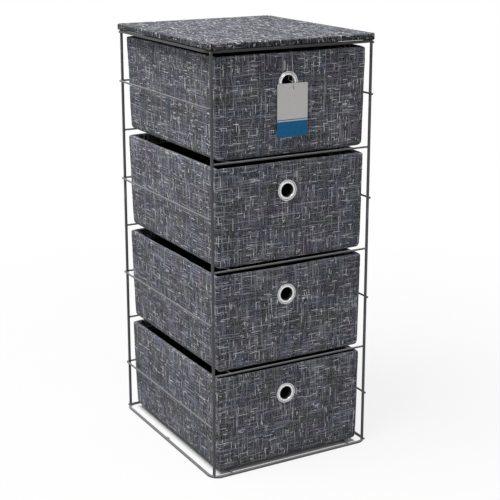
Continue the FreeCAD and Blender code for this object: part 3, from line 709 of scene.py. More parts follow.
@dataclass(frozen=True)
class Plan:
    """Stations round a rounded rectangle seen from above, walked from the middle of the rear to the left.

    A station is a point of an inner rectangle, as a share of its sides, plus the corner radius times a
    direction, so the same stations serve every size of the outline.
    """

    share_x: Array
    share_y: Array
    out_x: Array
    out_y: Array

    @staticmethod
    def walk(front: Array, side: int, corner: int) -> Plan:
        """Sets the stations out.

        Args:
            front: shares from -1 to 1 of the stations along the front.
            side: spaces along each long side, and along the rear.
            corner: spaces round each corner.

        Returns:
            The plan; its last station closes it on the first.
        """
        half, down = np.linspace(0, -1, side // 2 + 1), np.linspace(1, -1, side + 1)
        turn = np.linspace(0, math.pi / 2, corner + 1)
        sin, cos = np.sin(turn), np.cos(turn)
        runs = [(half, 1, 0, 1), (-1, 1, -sin, cos), (-1, down, -1, 0), (-1, -1, -cos, -sin),
                (front, -1, 0, -1), (1, -1, sin, -cos), (1, -down, 1, 0), (1, 1, cos, sin),
                (1 + half, 1, 0, 1)]
        return Plan(*np.concatenate([grid(*run)[min(k, 1):] for k, run in enumerate(runs)]).T)

    def at(self, half_x: Array, front: Array, rear: Array, radius: Array) -> tuple[Array, Array]:
        """x and y of outlines, one row to each size: the inner rectangle plus radius times direction."""
        y = (front + rear) / 2 + self.share_y * ((rear - front) / 2 - radius) + radius * self.out_y
        return self.share_x * (half_x - radius) + radius * self.out_x, y


@dataclass(frozen=True)
class Surface:
    """A grid of points with the cloth coordinate of each one.

    points has the shape (..., rows, columns, 3) and cloth (..., rows, columns, 2); the leading part
    counts copies. kept, of shape (rows - 1, columns - 1), leaves faces out where it is false.
    """

    points: Array
    cloth: Optional[Array] = None
    kept: Optional[Array] = None
    flipped: bool = False

    def corners(self) -> Array:
        """Faces, each of which joins two neighbours in a row and the two above them.

        Returns:
            Corner numbers of every face, (faces, 4).
        """
        rows, columns = self.points.shape[-3:-1]
        number = np.arange(rows * columns).reshape(rows, columns)
        faces = grid(number[:-1, :-1], number[:-1, 1:], number[1:, 1:], number[1:, :-1])
        faces = faces.reshape(-1, 4) if self.kept is None else faces[self.kept]
        copies = np.arange(0, len(self.flat_points()), rows * columns)
        faces = (faces + copies[:, None, None]).reshape(-1, 4)
        return faces[:, ::-1] if self.flipped else faces

    def flat_points(self) -> Array:
        """The points in one list."""
        return self.points.reshape(-1, 3)

    def flat_cloth(self) -> Array:
        """The cloth coordinates in one list, taken from x and z where none are given."""
        return self.flat_points()[:, [0, 2]] if self.cloth is None else self.cloth.reshape(-1, 2)


def add(name: str, data: bpy.types.ID) -> Object:
    """Adds an object to the scene.

    Args:
        name: the object's name.
        data: its mesh, camera or light.

    Returns:
        The object, at the origin.
    """
    made = bpy.data.objects.new(name, data)
    bpy.context.scene.collection.objects.link(made)
    return made


def build(name: str, surfaces: Sequence[Surface], material: Material, wall: float = 0.0) -> Object:
    """Joins surfaces into one object, welds the points they share and may give the sheet a thickness.

    Args:
        name: the piece's name.
        surfaces: its surfaces, whose shared edges have the same points.
        material: its finish.
        wall: thickness added behind the faces, or before them if it is negative. A closed form has none.

    Returns:
        The object, at the origin.
    """
    starts = np.cumsum([0] + [len(s.flat_points()) for s in surfaces[:-1]])
    points = np.concatenate([s.flat_points() for s in surfaces])
    cloth = np.concatenate([s.flat_cloth() for s in surfaces])
    faces = np.concatenate([s.corners() + start for s, start in zip(surfaces, starts)])
    mesh = bpy.data.meshes.new(name)
    mesh.from_pydata(points.tolist(), [], faces.tolist())
    layer = mesh.uv_layers.new(name="cloth")
    layer.data.foreach_set("uv", cloth[faces.ravel()].astype(np.float32).ravel())
    work = bmesh.new()
    work.from_mesh(mesh)
    bmesh.ops.remove_doubles(work, verts=work.verts, dist=2e-6)
    bmesh.ops.dissolve_degenerate(work, edges=work.edges, dist=1e-7)
    work.to_mesh(mesh)
    work.free()
    mesh.polygons.foreach_set("use_smooth", np.ones(len(mesh.polygons), bool))
    mesh.materials.append(material)
    made = add(name, mesh)
    if wall:
        skin = made.modifiers.new("wall", "SOLIDIFY")
        skin.thickness, skin.offset = abs(wall), -math.copysign(1.0, wall)
    return made


def settle(piece: Object, body: Body, stands_for: str = "") -> None:
    """Fixes a finished piece to its body and reports it.

    Args:
        piece: the piece.
        body: the body it rides on.
        stands_for: the solid it is shown in place of.
    """
    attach(piece, body.value)
    if stands_for:
        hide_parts(stands_for)
    LOG.info("%s: %d faces on %s", piece.name, len(piece.data.polygons), body.value)


def paint(node: str, material: Material) -> None:
    """Gives a carried-over solid its finish.

    Args:
        node: the solid's name.
        material: its finish.
    """
    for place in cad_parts[node].material_slots:
        place.material = material
    LOG.info("%s: %s", node, material.name)


# ------------------------------------------------------------------ sub-assemblies


@dataclass
class Drawer:
    """A stiffened cloth drawer: tweed cover folded over the rim, black lining, hem stitches and eyelet.

    The wall's rows and the front's columns are set out so that a square patch of them lies round the
    eyelet. wall_cells and front_cells count their spaces before, in and after that patch. deep holds the
    insets of the rings that close the bottom. Each pair of waves is a ripple's shortest and longest length,
    and each slack says where the cloth comes loose: two rises from the bottom and two drops from the top.
    """

    number: int
    tweed: Material
    lining: Material
    metal: Material
    thread: Material
    board: Material
    slope_x: float = 3.0 * MM
    slope_rear: float = 5.0 * MM
    corner: float = 3.0 * MM
    corner_least: float = 0.7 * MM
    base_round: float = 8.5 * MM
    cover_wall: float = 1.0 * MM
    cover_hole: float = 12.6 * MM
    rim: float = 5.8 * MM
    rim_drop: float = 7.0 * MM
    hem: float = 19.0 * MM
    stack: float = 4.8 * MM
    lining_round: float = 6.0 * MM
    lining_wall: float = 0.6 * MM
    lining_hole: float = 11.2 * MM
    eyelet_rise: float = 106.5 * MM
    eyelet_x: float = -8.0 * MM
    calm_radii: tuple[float, float] = (18 * MM, 34 * MM)
    patch: float = 21.0 * MM
    stitch: float = 3.6 * MM
    stitch_half: float = 1.25 * MM
    stitch_sag: float = 0.12 * MM
    stitch_radius: float = 0.27 * MM
    wall_waves: tuple[float, float] = (45 * MM, 210 * MM)
    wall_slack: tuple[float, ...] = (6 * MM, 30 * MM, 26 * MM, 4 * MM)
    rim_waves: tuple[float, float] = (60 * MM, 260 * MM)
    rim_slack: tuple[float, float] = (14 * MM, 2 * MM)
    lining_waves: tuple[float, float] = (40 * MM, 160 * MM)
    lining_slack: tuple[float, ...] = (14 * MM, 45 * MM, 40 * MM, 22 * MM)
    floor_waves: tuple[float, float] = (50 * MM, 190 * MM)
    creased: float = 24.0 * MM
    crease: float = 7.5 * MM
    crease_drop: float = 15.0 * MM
    crease_height: float = 11.0 * MM
    side_cells: int = 40
    corner_cells: int = 6
    front_cells: tuple[int, int, int] = (14, 10, 16)
    wall_cells: tuple[int, int, int] = (12, 10, 4)
    deep: tuple[float, ...] = (110 * MM, 84 * MM, 58 * MM, 34 * MM)
    plan: Plan = field(init=False)
    low: Vector = field(init=False)
    high: Vector = field(init=False)

    def __post_init__(self) -> None:
        """Reads the cover's box and sets out the stations, two of them at the sides of the eyelet's patch."""
        self.low, self.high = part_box(f"{self.name}_cover")
        straight = self.high.x - self.slope_x * self.lean(self.eyelet_rise) - self.corner
        left, right = ((self.eyelet_x + side * self.patch) / straight for side in (-1, 1))
        front = spaced((-1, left, right, 1), self.front_cells)
        self.plan = Plan.walk(front, self.side_cells, self.corner_cells)

    @property
    def name(self) -> str:
        """The drawer's name, 1 being the top one. Its body has the same."""
        return f"drawer_{self.number}"

    @property
    def height(self) -> float:
        """Height of the drawer."""
        return self.high.z - self.low.z

    @property
    def eyelet_centre(self) -> Vector:
        """The eyelet's axis at the drawer's front."""
        return Vector((self.eyelet_x, self.low.y, self.low.z + self.eyelet_rise))

    def lean(self, rise: Any) -> Any:
        """The share of its slope by which a leaning side stands inwards at a rise above the bottom."""
        return 1 - np.clip(rise / self.height, 0, 1)

    def rings(self, profile: Array) -> Array:
        """Outlines of the drawer, each at its rise above the bottom and moved inwards by its inset.

        Args:
            profile: inset and rise of each, (rows, 2).

        Returns:
            Points (rows, stations, 3).
        """
        inset, rise = profile[:, :1], profile[:, 1:]
        half_x = self.high.x - self.slope_x * self.lean(rise) - inset
        rear = self.high.y - self.slope_rear * self.lean(rise) - inset
        radius = np.maximum(self.corner - inset, self.corner_least)
        return grid(*self.plan.at(half_x, self.low.y + inset, rear, radius), self.low.z + rise)

    def walked(self) -> Array:
        """Distance round the rim: the cloth's first coordinate, which each drawer starts elsewhere."""
        walked = gone(self.rings(np.array([[0.0, self.height]]))[0])
        return walked - walked[-1] / 2 + 1.37 * self.number

    def calm(self, points: Array) -> Array:
        """0 under the eyelet's flange and 1 away from it, on the front wall only."""
        x, y, z = np.moveaxis(points - np.array(self.eyelet_centre), -1, 0)
        return np.where(y < 8 * MM, smooth(np.hypot(x, z), *self.calm_radii), 1.0)

    def slack(self, rise: Array, foot: float, low: float, high: float, head: float) -> Array:
        """1 on the loose middle of a wall, with smooth steps to 0 from low to foot and from high to head."""
        top = smooth(rise, self.height - high, self.height - head)
        return smooth(rise, foot, low) * (1 - top)

    def corner_nearness(self, x: Array, y: Array, reach: float) -> Array:
        """1 at an upright corner, falling to 0 at reach from it: a Gaussian of the distance."""
        off_y = np.minimum(y - self.low.y, self.high.y - y)
        return hump(np.hypot(self.high.x - np.abs(x), off_y), 0.0, reach)

    def soften(self, points: Array, rise: Array) -> Array:
        """Moves the cover as cloth over boards lies.

        The wall goes outwards by a slow ripple inside a window that is 0 at base and rim, the rim rises and
        dips a little, and near each upright corner short creases fan out below the rim.

        Args:
            points: the cover's points, (rows, stations, 3).
            rise: height of each row above the bottom, (rows, 1).

        Returns:
            The moved points.
        """
        x, y, z = np.moveaxis(points, -1, 0)
        u, h, seed = self.walked(), self.height, 10 * self.number
        bulge = self.slack(rise, *self.wall_slack) * (0.45 + 0.55 * ripple(u, rise, seed, *self.wall_waves))
        near = self.corner_nearness(x, y, self.creased)
        under_rim = hump(rise, h - self.crease_drop, self.crease_height)
        crease = near * under_rim * (0.5 + 0.5 * np.sin(math.tau * (rise + 0.35 * u) / self.crease))
        push = MM * np.clip(0.85 * bulge + 0.55 * crease, -0.22, 1.4) * self.calm(points)
        from_middle = y - (self.low.y + self.high.y) / 2
        flat_x, flat_y = np.abs(x) / self.high.x, np.abs(from_middle) / ((self.high.y - self.low.y) / 2)
        on_side = smooth(flat_x - flat_y, -0.05, 0.05)
        wave = ripple(u, 0 * u, seed + 1, *self.rim_waves)
        top = smooth(rise, *(h - drop for drop in self.rim_slack))
        lift = MM * top * (0.25 + 0.35 * wave - self.corner_nearness(x, y, 7 * MM))
        return grid(x + np.sign(x) * push * on_side, y + np.sign(from_middle) * push * (1 - on_side),
                    z + np.maximum(lift, -0.9 * MM))

    def wall(self, inset: float, rise: float, radius: float, steps: int, end: float) -> tuple[Array, int]:
        """Insets and rises of a wall's rows.

        It starts with a quarter circle of inset R(1 - sin a) and rise R(1 - cos a).

        Args:
            inset: the wall's inset.
            rise: the rise it starts from.
            radius: R.
            steps: spaces round the quarter circle.
            end: the rise it ends at.

        Returns:
            The rows, (rows, 2), and the number of the one at the foot of the eyelet's patch.
        """
        a = np.linspace(0, math.pi / 2, steps + 1)[:-1]
        stops = rise + radius, self.eyelet_rise - self.patch, self.eyelet_rise + self.patch, end
        foot = (inset, rise) + radius * (1 - grid(np.sin(a), np.cos(a)))
        rows = np.concatenate([foot, grid(inset, spaced(stops, self.wall_cells))])
        return rows, steps + self.wall_cells[0]

    def bottom(self, rise: float, insets: Sequence[float], crown: float = 0.0) -> Array:
        """Rings at one rise that close the bottom, from its middle outwards.

        Args:
            rise: their height above the drawer's bottom.
            insets: the insets of the outer rings.
            crown: how much higher the middle is.

        Returns:
            The points, (rings, stations, 3).
        """
        rings = self.rings(grid((*self.deep, *insets), rise))
        middle = (0.0, (self.low.y + self.high.y) / 2, self.low.z + rise + crown)
        return np.concatenate([np.broadcast_to(middle, rings[:1].shape), rings])

    def holed(self, points: Array, cloth: Array, row: int, radius: float, face_y: float,
              flipped: bool) -> tuple[Array, Surface]:
        """Opens a round hole in the front wall and fans the faces round it.

        The eyelet's patch is left out, and each point of its edge is joined by a straight line to the point
        of the circle at the same angle, with rings at set shares of that line.

        Args:
            points: the wall's points.
            cloth: their cloth coordinates.
            row: first row of the patch.
            radius: the hole's radius.
            face_y: y of the wall's face at the hole.
            flipped: turns the patch's faces round.

        Returns:
            Which faces of the wall are kept, and the fan.
        """
        column = self.side_cells * 3 // 2 + 2 * self.corner_cells + self.front_cells[0]
        rows, columns = self.wall_cells[1], self.front_cells[1]
        kept = np.ones((points.shape[0] - 1, points.shape[1] - 1), bool)
        kept[row:row + rows, column:column + columns] = False

        def border(values: Array) -> Array:
            """The values at the patch's edge, once round."""
            a = values[row:row + rows + 1, column:column + columns + 1]
            return np.concatenate([a[0, :-1], a[:-1, -1], a[-1, :0:-1], a[::-1, 0]])

        rim, rim_cloth, centre = border(points), border(cloth), self.eyelet_centre
        angle = np.arctan2(rim[:, 2] - centre.z, rim[:, 0] - centre.x)
        circle = grid(centre.x + radius * np.cos(angle), face_y, centre.z + radius * np.sin(angle))
        circle_cloth = circle[:, [0, 2]] + (rim_cloth - rim[:, [0, 2]]).mean(0)
        share = np.array([0.0, 0.12, 0.28, 0.5, 0.75, 1.0])[:, None, None]
        fan, fan_cloth = (a * (1 - share) + b * share for a, b in ((circle, rim), (circle_cloth, rim_cloth)))
        return kept, Surface(fan, fan_cloth, flipped=flipped)

    def make_cover(self) -> Object:
        """Builds the tweed cover: underside, rounded edge, walls with the eyelet's hole, rim fold and hem.

        Above the wall its profile is a soft line that goes over the rim and comes down inside. The cloth's
        second coordinate is the length of the profile, and starts as the rise at the foot of the wall.

        Returns:
            The cover.
        """
        steps, t = 6, self.rim / MM
        rows, row = self.wall(0.0, 0.0, self.base_round, steps, self.height - self.rim_drop)
        fold = [(0, -self.rim_drop / MM), (0, -3.4), (0, -0.8), (1.1, 0), (t / 2, 0.15), (t - 1.1, 0),
                (t, -0.8), (t, -4), (t - 0.1, -9), (t - 0.2, -self.hem / MM)]
        profile = np.concatenate([rows, soft_line(fold, 24)[1:] * MM + (0, self.height)])
        length = gone(profile)
        points, rise = self.rings(profile), profile[:, 1:]
        cloth = grid(self.walked(), (length - length[steps] + self.base_round)[:, None])
        soft = self.soften(points, rise)
        kept, fan = self.holed(soft, cloth, row, self.cover_hole, self.low.y, flipped=True)
        under = self.bottom(0.0, (18 * MM, self.base_round))
        surfaces = [Surface(soft, cloth, kept), fan, Surface(under, under[..., :2])]
        return build(f"{self.name}_tweed_cover", surfaces, self.tweed, self.cover_wall)

    def make_lining(self) -> Object:
        """Builds the black lining: walls from under the hem down to a rounded inner base, with its floor.

        Walls swell and the floor lifts by slow ripples, in windows that are 0 where they meet the boards.

        Returns:
            The lining.
        """
        inset, foot, radius = self.stack + 0.05 * MM, self.stack + 0.15 * MM, self.lining_round
        seed = 10 * self.number
        rows, row = self.wall(inset, foot, radius, 5, self.height - 5 * MM)
        points, rise = self.rings(rows), rows[:, 1:]
        cloth = grid(self.walked(), points[..., 2])
        slack = self.slack(rise, *self.lining_slack) * self.calm(points)
        wave = ripple(cloth[..., 0], rise, seed + 5, *self.lining_waves)
        swell = np.clip(MM * 0.9 * slack * (0.5 + 0.5 * wave), 0, 1.6 * MM)
        soft = points - swell[..., None] * grid(self.plan.out_x, self.plan.out_y, 0)
        kept, fan = self.holed(soft, cloth, row, self.lining_hole, self.low.y + inset, flipped=False)
        floor = self.bottom(foot, (20 * MM, inset + radius), crown=0.2 * MM)
        wave = ripple(floor[1:-1, :, 0], floor[1:-1, :, 1], seed + 7, *self.floor_waves)
        floor[1:-1, :, 2] += MM * 0.35 * np.clip(0.5 + 0.5 * wave, 0, 1)
        surfaces = [Surface(soft, cloth, kept, flipped=True), fan,
                    Surface(floor, floor[..., :2], flipped=True)]
        return build(f"{self.name}_black_lining", surfaces, self.lining, self.lining_wall)

    def make_stitches(self) -> Object:
        """Builds the row of stitches that holds the hem to the lining, a little above the hem's edge.

        They stand at even distances round the hem, and each falls by its sag at both ends.

        Returns:
            The stitches, in one piece.
        """
        loop = self.rings(np.array([[self.rim - 0.08 * MM, self.height - self.hem + 3.5 * MM]]))[0]
        length = gone(loop)
        middle = np.linspace(0, length[-1], int(length[-1] / self.stitch), endpoint=False) + self.stitch / 2
        ends = (grid(*(np.interp(middle + half, length, part) for part in loop.T))
                for half in (-self.stitch_half, self.stitch_half))
        start, end = (points + (0, 0, sag) for points, sag in zip(ends, (self.stitch_sag, -self.stitch_sag)))
        threads = Surface(short_threads(start, end, self.stitch_radius))
        return build(f"{self.name}_hem_stitches", [threads], self.thread)

    def turned(self, kind: str, profile: Sequence[Array], around: int) -> Object:
        """Turns a closed profile about the eyelet's axis: the point is centre + r (cos a, 0, sin a) - h y.

        The radius r is also the second part of the piece's cloth map.

        Args:
            kind: last words of the piece's name.
            profile: lists of r and height h towards the front, in mm, in turn round the section.
            around: spaces round the circle.

        Returns:
            The piece.
        """
        section = np.concatenate([*profile, profile[0][:1]]) * MM
        r, h, c = section[:, :1], section[:, 1:], self.eyelet_centre
        angle = np.linspace(0, math.tau, around + 1)
        points = grid(c.x + r * np.cos(angle), c.y - h, c.z + r * np.sin(angle))
        cloth = grid(np.linspace(0, 0.08, around + 1), r)
        return build(f"{self.name}_{kind}", [Surface(points, cloth)], self.metal)

    def make_eyelet(self) -> Object:
        """Builds the pressed eyelet: rolled outer lip, crown, barrel through the wall and curl behind it.

        Returns:
            The eyelet.
        """
        face = [(15.85, -0.05), (16.0, 0.5), (15.9, 1.2), (15.3, 1.5), (14.75, 1.25), (14.4, 0.5),
                (14.1, 0.5), (13.7, 1.25), (12.8, 1.9), (11.5, 1.95), (10.5, 1.35), (10.05, 0.2),
                (10.0, -2.0), (10.0, -5.0), (10.1, -6.2), (10.8, -6.75), (11.8, -6.65), (12.4, -6.1),
                (12.45, -5.7)]
        back = [(12.1, -5.7), (11.7, -6.25), (10.9, -6.3), (10.5, -5.8), (10.4, -2.5), (10.45, -0.3),
                (11.0, 0.7), (12.3, 1.3), (13.2, 0.9), (13.8, 0.1), (14.7, 0.1), (15.1, 0.8), (15.5, 0.4),
                (15.6, -0.05)]
        return self.turned("pressed_eyelet", [soft_line(face, 54), soft_line(back, 24)], 72)

    def make_washer(self) -> Object:
        """Builds the dished washer that the eyelet's barrel is curled over, behind the lining.

        Returns:
            The washer.
        """
        face = [(10.75, -5.05), (10.75, -5.5), (11.4, -5.75), (12.6, -5.75), (13.9, -5.55), (14.8, -5.4),
                (15.0, -5.15), (14.9, -4.95)]
        back = [(14.6, -4.92), (13.8, -5.0), (12.4, -5.15), (11.0, -5.1)]
        return self.turned("dished_washer", [soft_line(face, 20), np.array(back)], 64)

    def dress(self) -> None:
        """Makes every piece of the drawer and fixes it to its body."""
        body = Body(self.name)
        settle(self.make_cover(), body, f"{self.name}_cover")
        settle(self.make_lining(), body, f"{self.name}_lining")
        settle(self.make_stitches(), body)
        settle(self.make_eyelet(), body, f"{self.name}_eyelet")
        settle(self.make_washer(), body, f"{self.name}_eyelet_washer")
        for side in ("front", "rear", "left", "right", "base"):
            paint(f"{self.name}_{side}_board", self.board)


@dataclass
class Lid:
    """A board wrapped in tweed, its hem stapled underneath round a black backing.

    top and strip are the insets, in mm, of the rings on the flat top and on the hem. Each pleat at a corner
    has its height, its place as the turn round the corner in radians, and its width in the same.
    """

    tweed: Material
    backing: Material
    metal: Material
    board: Material
    corner: float = 12.0 * MM
    edge: float = 4.0 * MM
    hem: float = 24.0 * MM
    wrap_wall: float = 0.9 * MM
    backing_wall: float = 0.25 * MM
    top_waves: tuple[float, float] = (50 * MM, 220 * MM)
    edge_waves: tuple[float, float] = (40 * MM, 190 * MM)
    backing_waves: tuple[float, float] = (45 * MM, 150 * MM)
    gathered: float = 17.0 * MM
    crease: float = 9.0 * MM
    tuck: float = 1.3 * MM
    staple_line: float = 7.0 * MM
    staple_half: float = 5.0 * MM
    staple_radius: float = 0.35 * MM
    top: tuple[float, ...] = (140.4, 118.0, 96.0, 74.0, 54.0, 36.0, 24.0, 15.0, 9.5, 6.5)
    strip: tuple[float, ...] = (8.0, 13.0, 18.0, 24.0)
    pleats: tuple[tuple[float, float, float], ...] = (
        (1.2 * MM, 1.02, 0.20), (0.8 * MM, 0.32, 0.14), (-1.4 * MM, 0.62, 0.10))
    low: Vector = field(init=False)
    high: Vector = field(init=False)

    def __post_init__(self) -> None:
        """Reads the cover's box."""
        self.low, self.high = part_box("lid_cover")

    def make_wrap(self) -> Object:
        """Builds the tweed wrap from the middle of the top out over the edge and back under as a hem.

        The profile is insets on the flat top, a soft line round the edge, and the hem's strip. The top swells
        by (1 - x^4)(1 - y^4), and creases run diagonally where the cloth is gathered round each corner. Round
        the corner pleats stand out as Gaussians of the turn, and the sine of twice the turn tucks it up.

        Returns:
            The wrap.
        """
        plan = Plan.walk(np.linspace(-1, 1, 45), 52, 16)
        thick, e, last = self.high.z - self.low.z, self.edge / MM, len(self.top) - 1
        t = thick / MM
        edge = [(e, t), (1.6, t), (0.25, t - 0.25), (0, t - 1.6), (0, t / 2), (0, 2), (0.2, 0.6), (1.2, 0),
                (3.4, 0)]
        profile = np.concatenate([grid(self.top, t), soft_line(edge, 18), grid(self.strip, 0)]) * MM
        inset, rise = profile[:, :1], profile[:, 1:]
        x, y = plan.at(self.high.x - inset, self.low.y + inset, self.high.y - inset,
                       np.maximum(self.corner - inset, 0.8 * MM))
        x[0], y[0] = 0.0, 0.0
        cloth = grid(x, y)
        cloth[last:] = cloth[last] + gone(profile[last:])[:, None, None] * grid(plan.out_x, plan.out_y)
        bulge = np.clip(1 - (x / self.high.x) ** 4, 0, 1) * np.clip(1 - (y / self.high.y) ** 4, 0, 1)
        swell = 0.7 * bulge + 0.30 * ripple(x, y, 3, *self.top_waves)
        near = hump(np.hypot(self.high.x - np.abs(x), self.high.y - np.abs(y)), 0.0, self.gathered)
        fold = near * np.cos(math.tau * (np.abs(x) - np.abs(y) + 0.02) / self.crease)
        upper = smooth(rise, thick * 0.3, thick)
        z = rise + MM * upper * (swell * smooth(inset, 0.0, 12 * MM) + 0.35 * fold)
        wave = 0.30 * ripple(x + y, z, 8, *self.edge_waves) + 0.30 * fold
        outward = np.clip(MM * wave * (1 - smooth(inset, 0.0, 6 * MM)), -0.2 * MM, 0.7 * MM)
        turn = np.arctan2(np.abs(plan.out_y), np.abs(plan.out_x))
        pleat = sum(height * hump(turn, at, width) for height, at, width in self.pleats)
        outward += pleat * (1 - smooth(inset, 1.5 * MM, 9 * MM))
        under = (1 - smooth(inset, 0.6 * MM, 2.5 * MM)) * (1 - upper)
        z -= self.tuck * np.clip(np.sin(2 * turn), 0, 1) * under
        points = grid(x + outward * plan.out_x, y + outward * plan.out_y, self.low.z + z)
        return build("lid_tweed_wrap", [Surface(points, cloth, flipped=True)], self.tweed, self.wrap_wall)

    def make_backing(self) -> Object:
        """Builds the black backing, a stretched sheet over the opening that the hem leaves.

        It is a level grid that sags by a slow ripple.

        Returns:
            The backing.
        """
        low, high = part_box("lid_backing")
        x, y = np.meshgrid(np.linspace(low.x, high.x, 41), np.linspace(low.y, high.y, 49))
        sag = 0.5 + 0.5 * ripple(x, y, 21, *self.backing_waves)
        points = grid(x, y, high.z - 0.03 * MM - 0.14 * MM * sag)
        return build("lid_black_backing", [Surface(points, points[..., :2], flipped=True)], self.backing,
                     -self.backing_wall)

    def make_staples(self) -> Object:
        """Builds the staples along the hem, each a short thread of wire in the hem's direction.

        Returns:
            The staples, in one piece.
        """
        line_x, line_y = (side - self.hem + self.staple_line for side in (self.high.x, self.high.y))
        along_x, along_y = np.linspace(-98, 98, 6) * MM, np.linspace(-118, 118, 7) * MM
        sides, z = np.array([[-1], [1]]), self.low.z - 0.1 * MM
        rows = [grid(along_x, sides * line_y, z), grid(sides * line_x, along_y, z)]
        middle = np.concatenate([row.reshape(-1, 3) for row in rows])
        half = self.staple_half
        reach = np.repeat([(half, 0, 0), (0, half, 0)], [2 * len(along_x), 2 * len(along_y)], axis=0)
        threads = Surface(short_threads(middle - reach, middle + reach, self.staple_radius))
        return build("lid_hem_staples", [threads], self.metal)

    def dress(self) -> None:
        """Makes every piece of the lid and fixes it to its body."""
        wrap, backing = self.make_wrap(), self.make_backing()
        settle(wrap, Body.LID, "lid_cover")
        settle(backing, Body.LID, "lid_backing")
        settle(self.make_staples(), Body.LID)
        paint("lid_board", self.board)


@dataclass
class WireTower:
    """The welded wires: painted solids, a weld bead where two meet, and painted shade on the top ring."""

    finish: Material
    shaded_ring_finish: Material
    post_x: float = 134.0 * MM
    post_y: float = 153.5 * MM
    runner_x: float = 105.0 * MM
    shelves: tuple[float, ...] = (482.25 * MM, 322.25 * MM, 162.25 * MM)
    rails: tuple[float, ...] = (562.25 * MM, 402.25 * MM, 242.25 * MM, 82.25 * MM)
    rings: tuple[float, ...] = (4.2 * MM, 640.2 * MM)

    def bead_places(self) -> tuple[Array, Array]:
        """Places a bead at every shelf wire, rail end, post end and runner end.

        Returns:
            Middles and half sizes of the beads, (beads, 3) each.
        """
        sides, x, y = np.array([-1.0, 1.0]), self.post_x, self.post_y
        groups = [
            (sides * (x - 2.3 * MM), sides * y, self.shelves, (1.5, 1.9, 1.9)),
            (sides * (x + 2.6 * MM), -y, self.rails, (1.4, 1.9, 1.9)),
            (sides * (x + 2.4 * MM), y + 1.2 * MM, self.rails, (1.4, 1.7, 1.8)),
            (sides * (x + 2.2 * MM), sides * (y + 2.2 * MM), self.rings, (1.7, 1.7, 1.6)),
            (sides * self.runner_x, sides * (y - 1.4 * MM), np.add(self.shelves, 0.6 * MM), (1.9, 1.3, 1.0)),
        ]
        spots = [grid(*np.meshgrid(*places, indexing="ij")).reshape(-1, 3) for *places, _ in groups]
        sizes = [np.broadcast_to(np.array(group[3]) * MM, spot.shape) for group, spot in zip(groups, spots)]
        return np.concatenate(spots), np.concatenate(sizes)

    def dress(self) -> None:
        """Paints the wires and adds the weld beads."""
        wires = ["base_ring", "post_front_left", "post_front_right", "post_rear_left", "post_rear_right"]
        wires += [f"shelf_wires_{n}" for n in SHELVES]
        wires += [f"{kind}_{n}" for kind in ("runners", "guard_rail") for n in DRAWERS]
        for wire in wires:
            paint(wire, self.finish)
        # The top ring takes the darker copy of the paint: painted shade under the lid.
        paint("top_ring", self.shaded_ring_finish)
        beads = build("weld_beads", [Surface(lumps(*self.bead_places(), seed=4), flipped=True)], self.finish)
        settle(beads, Body.FRAME)


@dataclass
class SwingTag:
    """The card tag and its clear strand."""

    strand: Material

    def dress(self) -> None:
        """Finishes the card, whose band is set out from its own box, and the strand."""
        low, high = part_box("tag_card")
        paint("tag_card", PrintedCard(low.z, high.z).make())
        paint("tag_loop", self.strand)


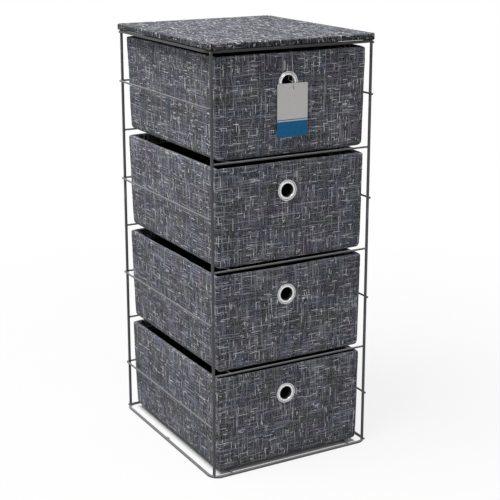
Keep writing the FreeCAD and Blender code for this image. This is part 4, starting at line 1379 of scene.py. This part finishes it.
@dataclass
class Studio:
    """Camera, lamp, world and floor. Angles are degrees, and the focal length is in pixels."""

    pixels: float = 500.0
    sensor: float = 36.0
    focal: float = 1238.1
    stand: float = 29.003
    distance: float = 1905.7 * MM
    rise: float = 856.5 * MM
    heading: float = 29.372
    dip: float = 14.259
    shift: float = -44.0 / 500.0
    key_towards: tuple[float, float, float] = (-0.38, -0.08, 0.92)
    key_distance: float = 2.6
    key_size: float = 1.5
    key_power: float = 61.0
    middle: float = 0.33
    fill: float = 0.36

    def stand_up(self, name: str, data: bpy.types.ID, spot: Sequence[float], look: Vector) -> Object:
        """Adds an object that stands at a spot and looks in a direction.

        Args:
            name: the object's name.
            data: its camera or light.
            spot: where it stands.
            look: the direction it looks in.

        Returns:
            The object.
        """
        made = add(name, data)
        made.location, made.rotation_mode = spot, "QUATERNION"
        made.rotation_quaternion = look.to_track_quat("-Z", "Y")
        return made

    def set_camera(self) -> None:
        """Stands the camera front left, a little above the lid, looking down by dip degrees."""
        lens = bpy.data.cameras.new("camera")
        lens.sensor_width, lens.lens = self.sensor, self.focal * self.sensor / self.pixels
        lens.shift_y, lens.clip_start, lens.clip_end = self.shift, 0.05, 60.0
        stand, heading, dip = (math.radians(a) for a in (self.stand, self.heading, self.dip))
        eye = (-math.sin(stand) * self.distance, -math.cos(stand) * self.distance, self.rise)
        look = Vector((math.sin(heading) * math.cos(dip), math.cos(heading) * math.cos(dip), -math.sin(dip)))
        bpy.context.scene.camera = self.stand_up("camera", lens, eye, look)

    def hang_lamp(self) -> None:
        """Hangs a square soft lamp that looks at the tower's middle."""
        lamp = bpy.data.lights.new("key", "AREA")
        lamp.size, lamp.energy = self.key_size, self.key_power
        away = Vector(self.key_towards).normalized()
        self.stand_up("key", lamp, Vector((0, 0, self.middle)) + away * self.key_distance, -away)

    def set_world(self) -> None:
        """A white world for the camera, metal and glass, and an even grey fill for everything else."""
        world = bpy.data.worlds.new("studio air")
        bpy.context.scene.world = world
        g = Graph(world)
        air = g.own("BACKGROUND").inputs
        g.feed(air["Color"], (1.0, 1.0, 1.0))
        g.feed(air["Strength"], g.term("ShaderNodeMapRange", {0: g.seen(), 3: self.fill, 4: 1.0}))

    def lay_floor(self) -> None:
        """Lays a round sheet of studio paper: rings of growing radius about the middle, at height 0."""
        radius = np.append(0.0, np.geomspace(0.2, 14.0, 16))[:, None]
        angle = np.linspace(0, math.tau, 49)
        points = grid(radius * np.cos(angle), radius * np.sin(angle), -0.02 * MM)
        paper = StudioPaper(*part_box("drawer_4_cover")).make()
        floor = build("studio_floor", [Surface(points, flipped=True)], paper)

    def set_up(self) -> None:
        """Sets up everything in the studio."""
        self.set_camera()
        self.lay_floor()
        self.set_world()
        self.hang_lamp()
        bpy.context.scene.view_settings.view_transform = "Standard"


def main() -> None:
    """Builds the studio, the wires, the drawers, the tag and the lid, in that order."""
    logging.basicConfig(level=logging.INFO, format="%(name)s: %(message)s")
    Studio().set_up()
    wire, cloth, metal = PaintedWire().make(), BlackCloth().make(), BrightMetal().make()
    board, thread = GreyBoard().make(), SewingThread().make()
    # rim places the painted highlight along the fold over the drawers' rims.
    tweed = Tweed("charcoal tweed", rim=150.5 * MM).make()
    # The lid's cloth has painted shade past the edges of its flat top and at its corners.
    lid_tweed = Tweed(
        "pale charcoal tweed", mid=0.115, light=0.33, fleck_grain=3.4 * MM, fleck_low=0.56, fleck_high=0.61,
        painted_shade_edges=(133.9 * MM, 153.4 * MM),
        slubs=(Slub((0.42, 0.43, 0.48), 1.2 * MM, 50 * MM, 0.58, 0.72, 19.7),
               Slub((1.0, 1.0, 1.0), 1.6 * MM, 17 * MM, 0.66, 0.73, 53.9))).make()
    # A darker copy of the wire paint with no paler top: painted shade for the top ring under the lid.
    shaded = (0.045, 0.044, 0.049)
    ring = PaintedWire("dark grey painted wire with painted shade under the lid", base=shaded, lit_top_and_rubbed=shaded).make()
    WireTower(wire, ring).dress()
    for number in DRAWERS:
        Drawer(number, tweed, cloth, metal, thread, board).dress()
    SwingTag(ClearStrand().make()).dress()
    Lid(lid_tweed, cloth, metal, board).dress()


if __name__ == "__main__":
    main()
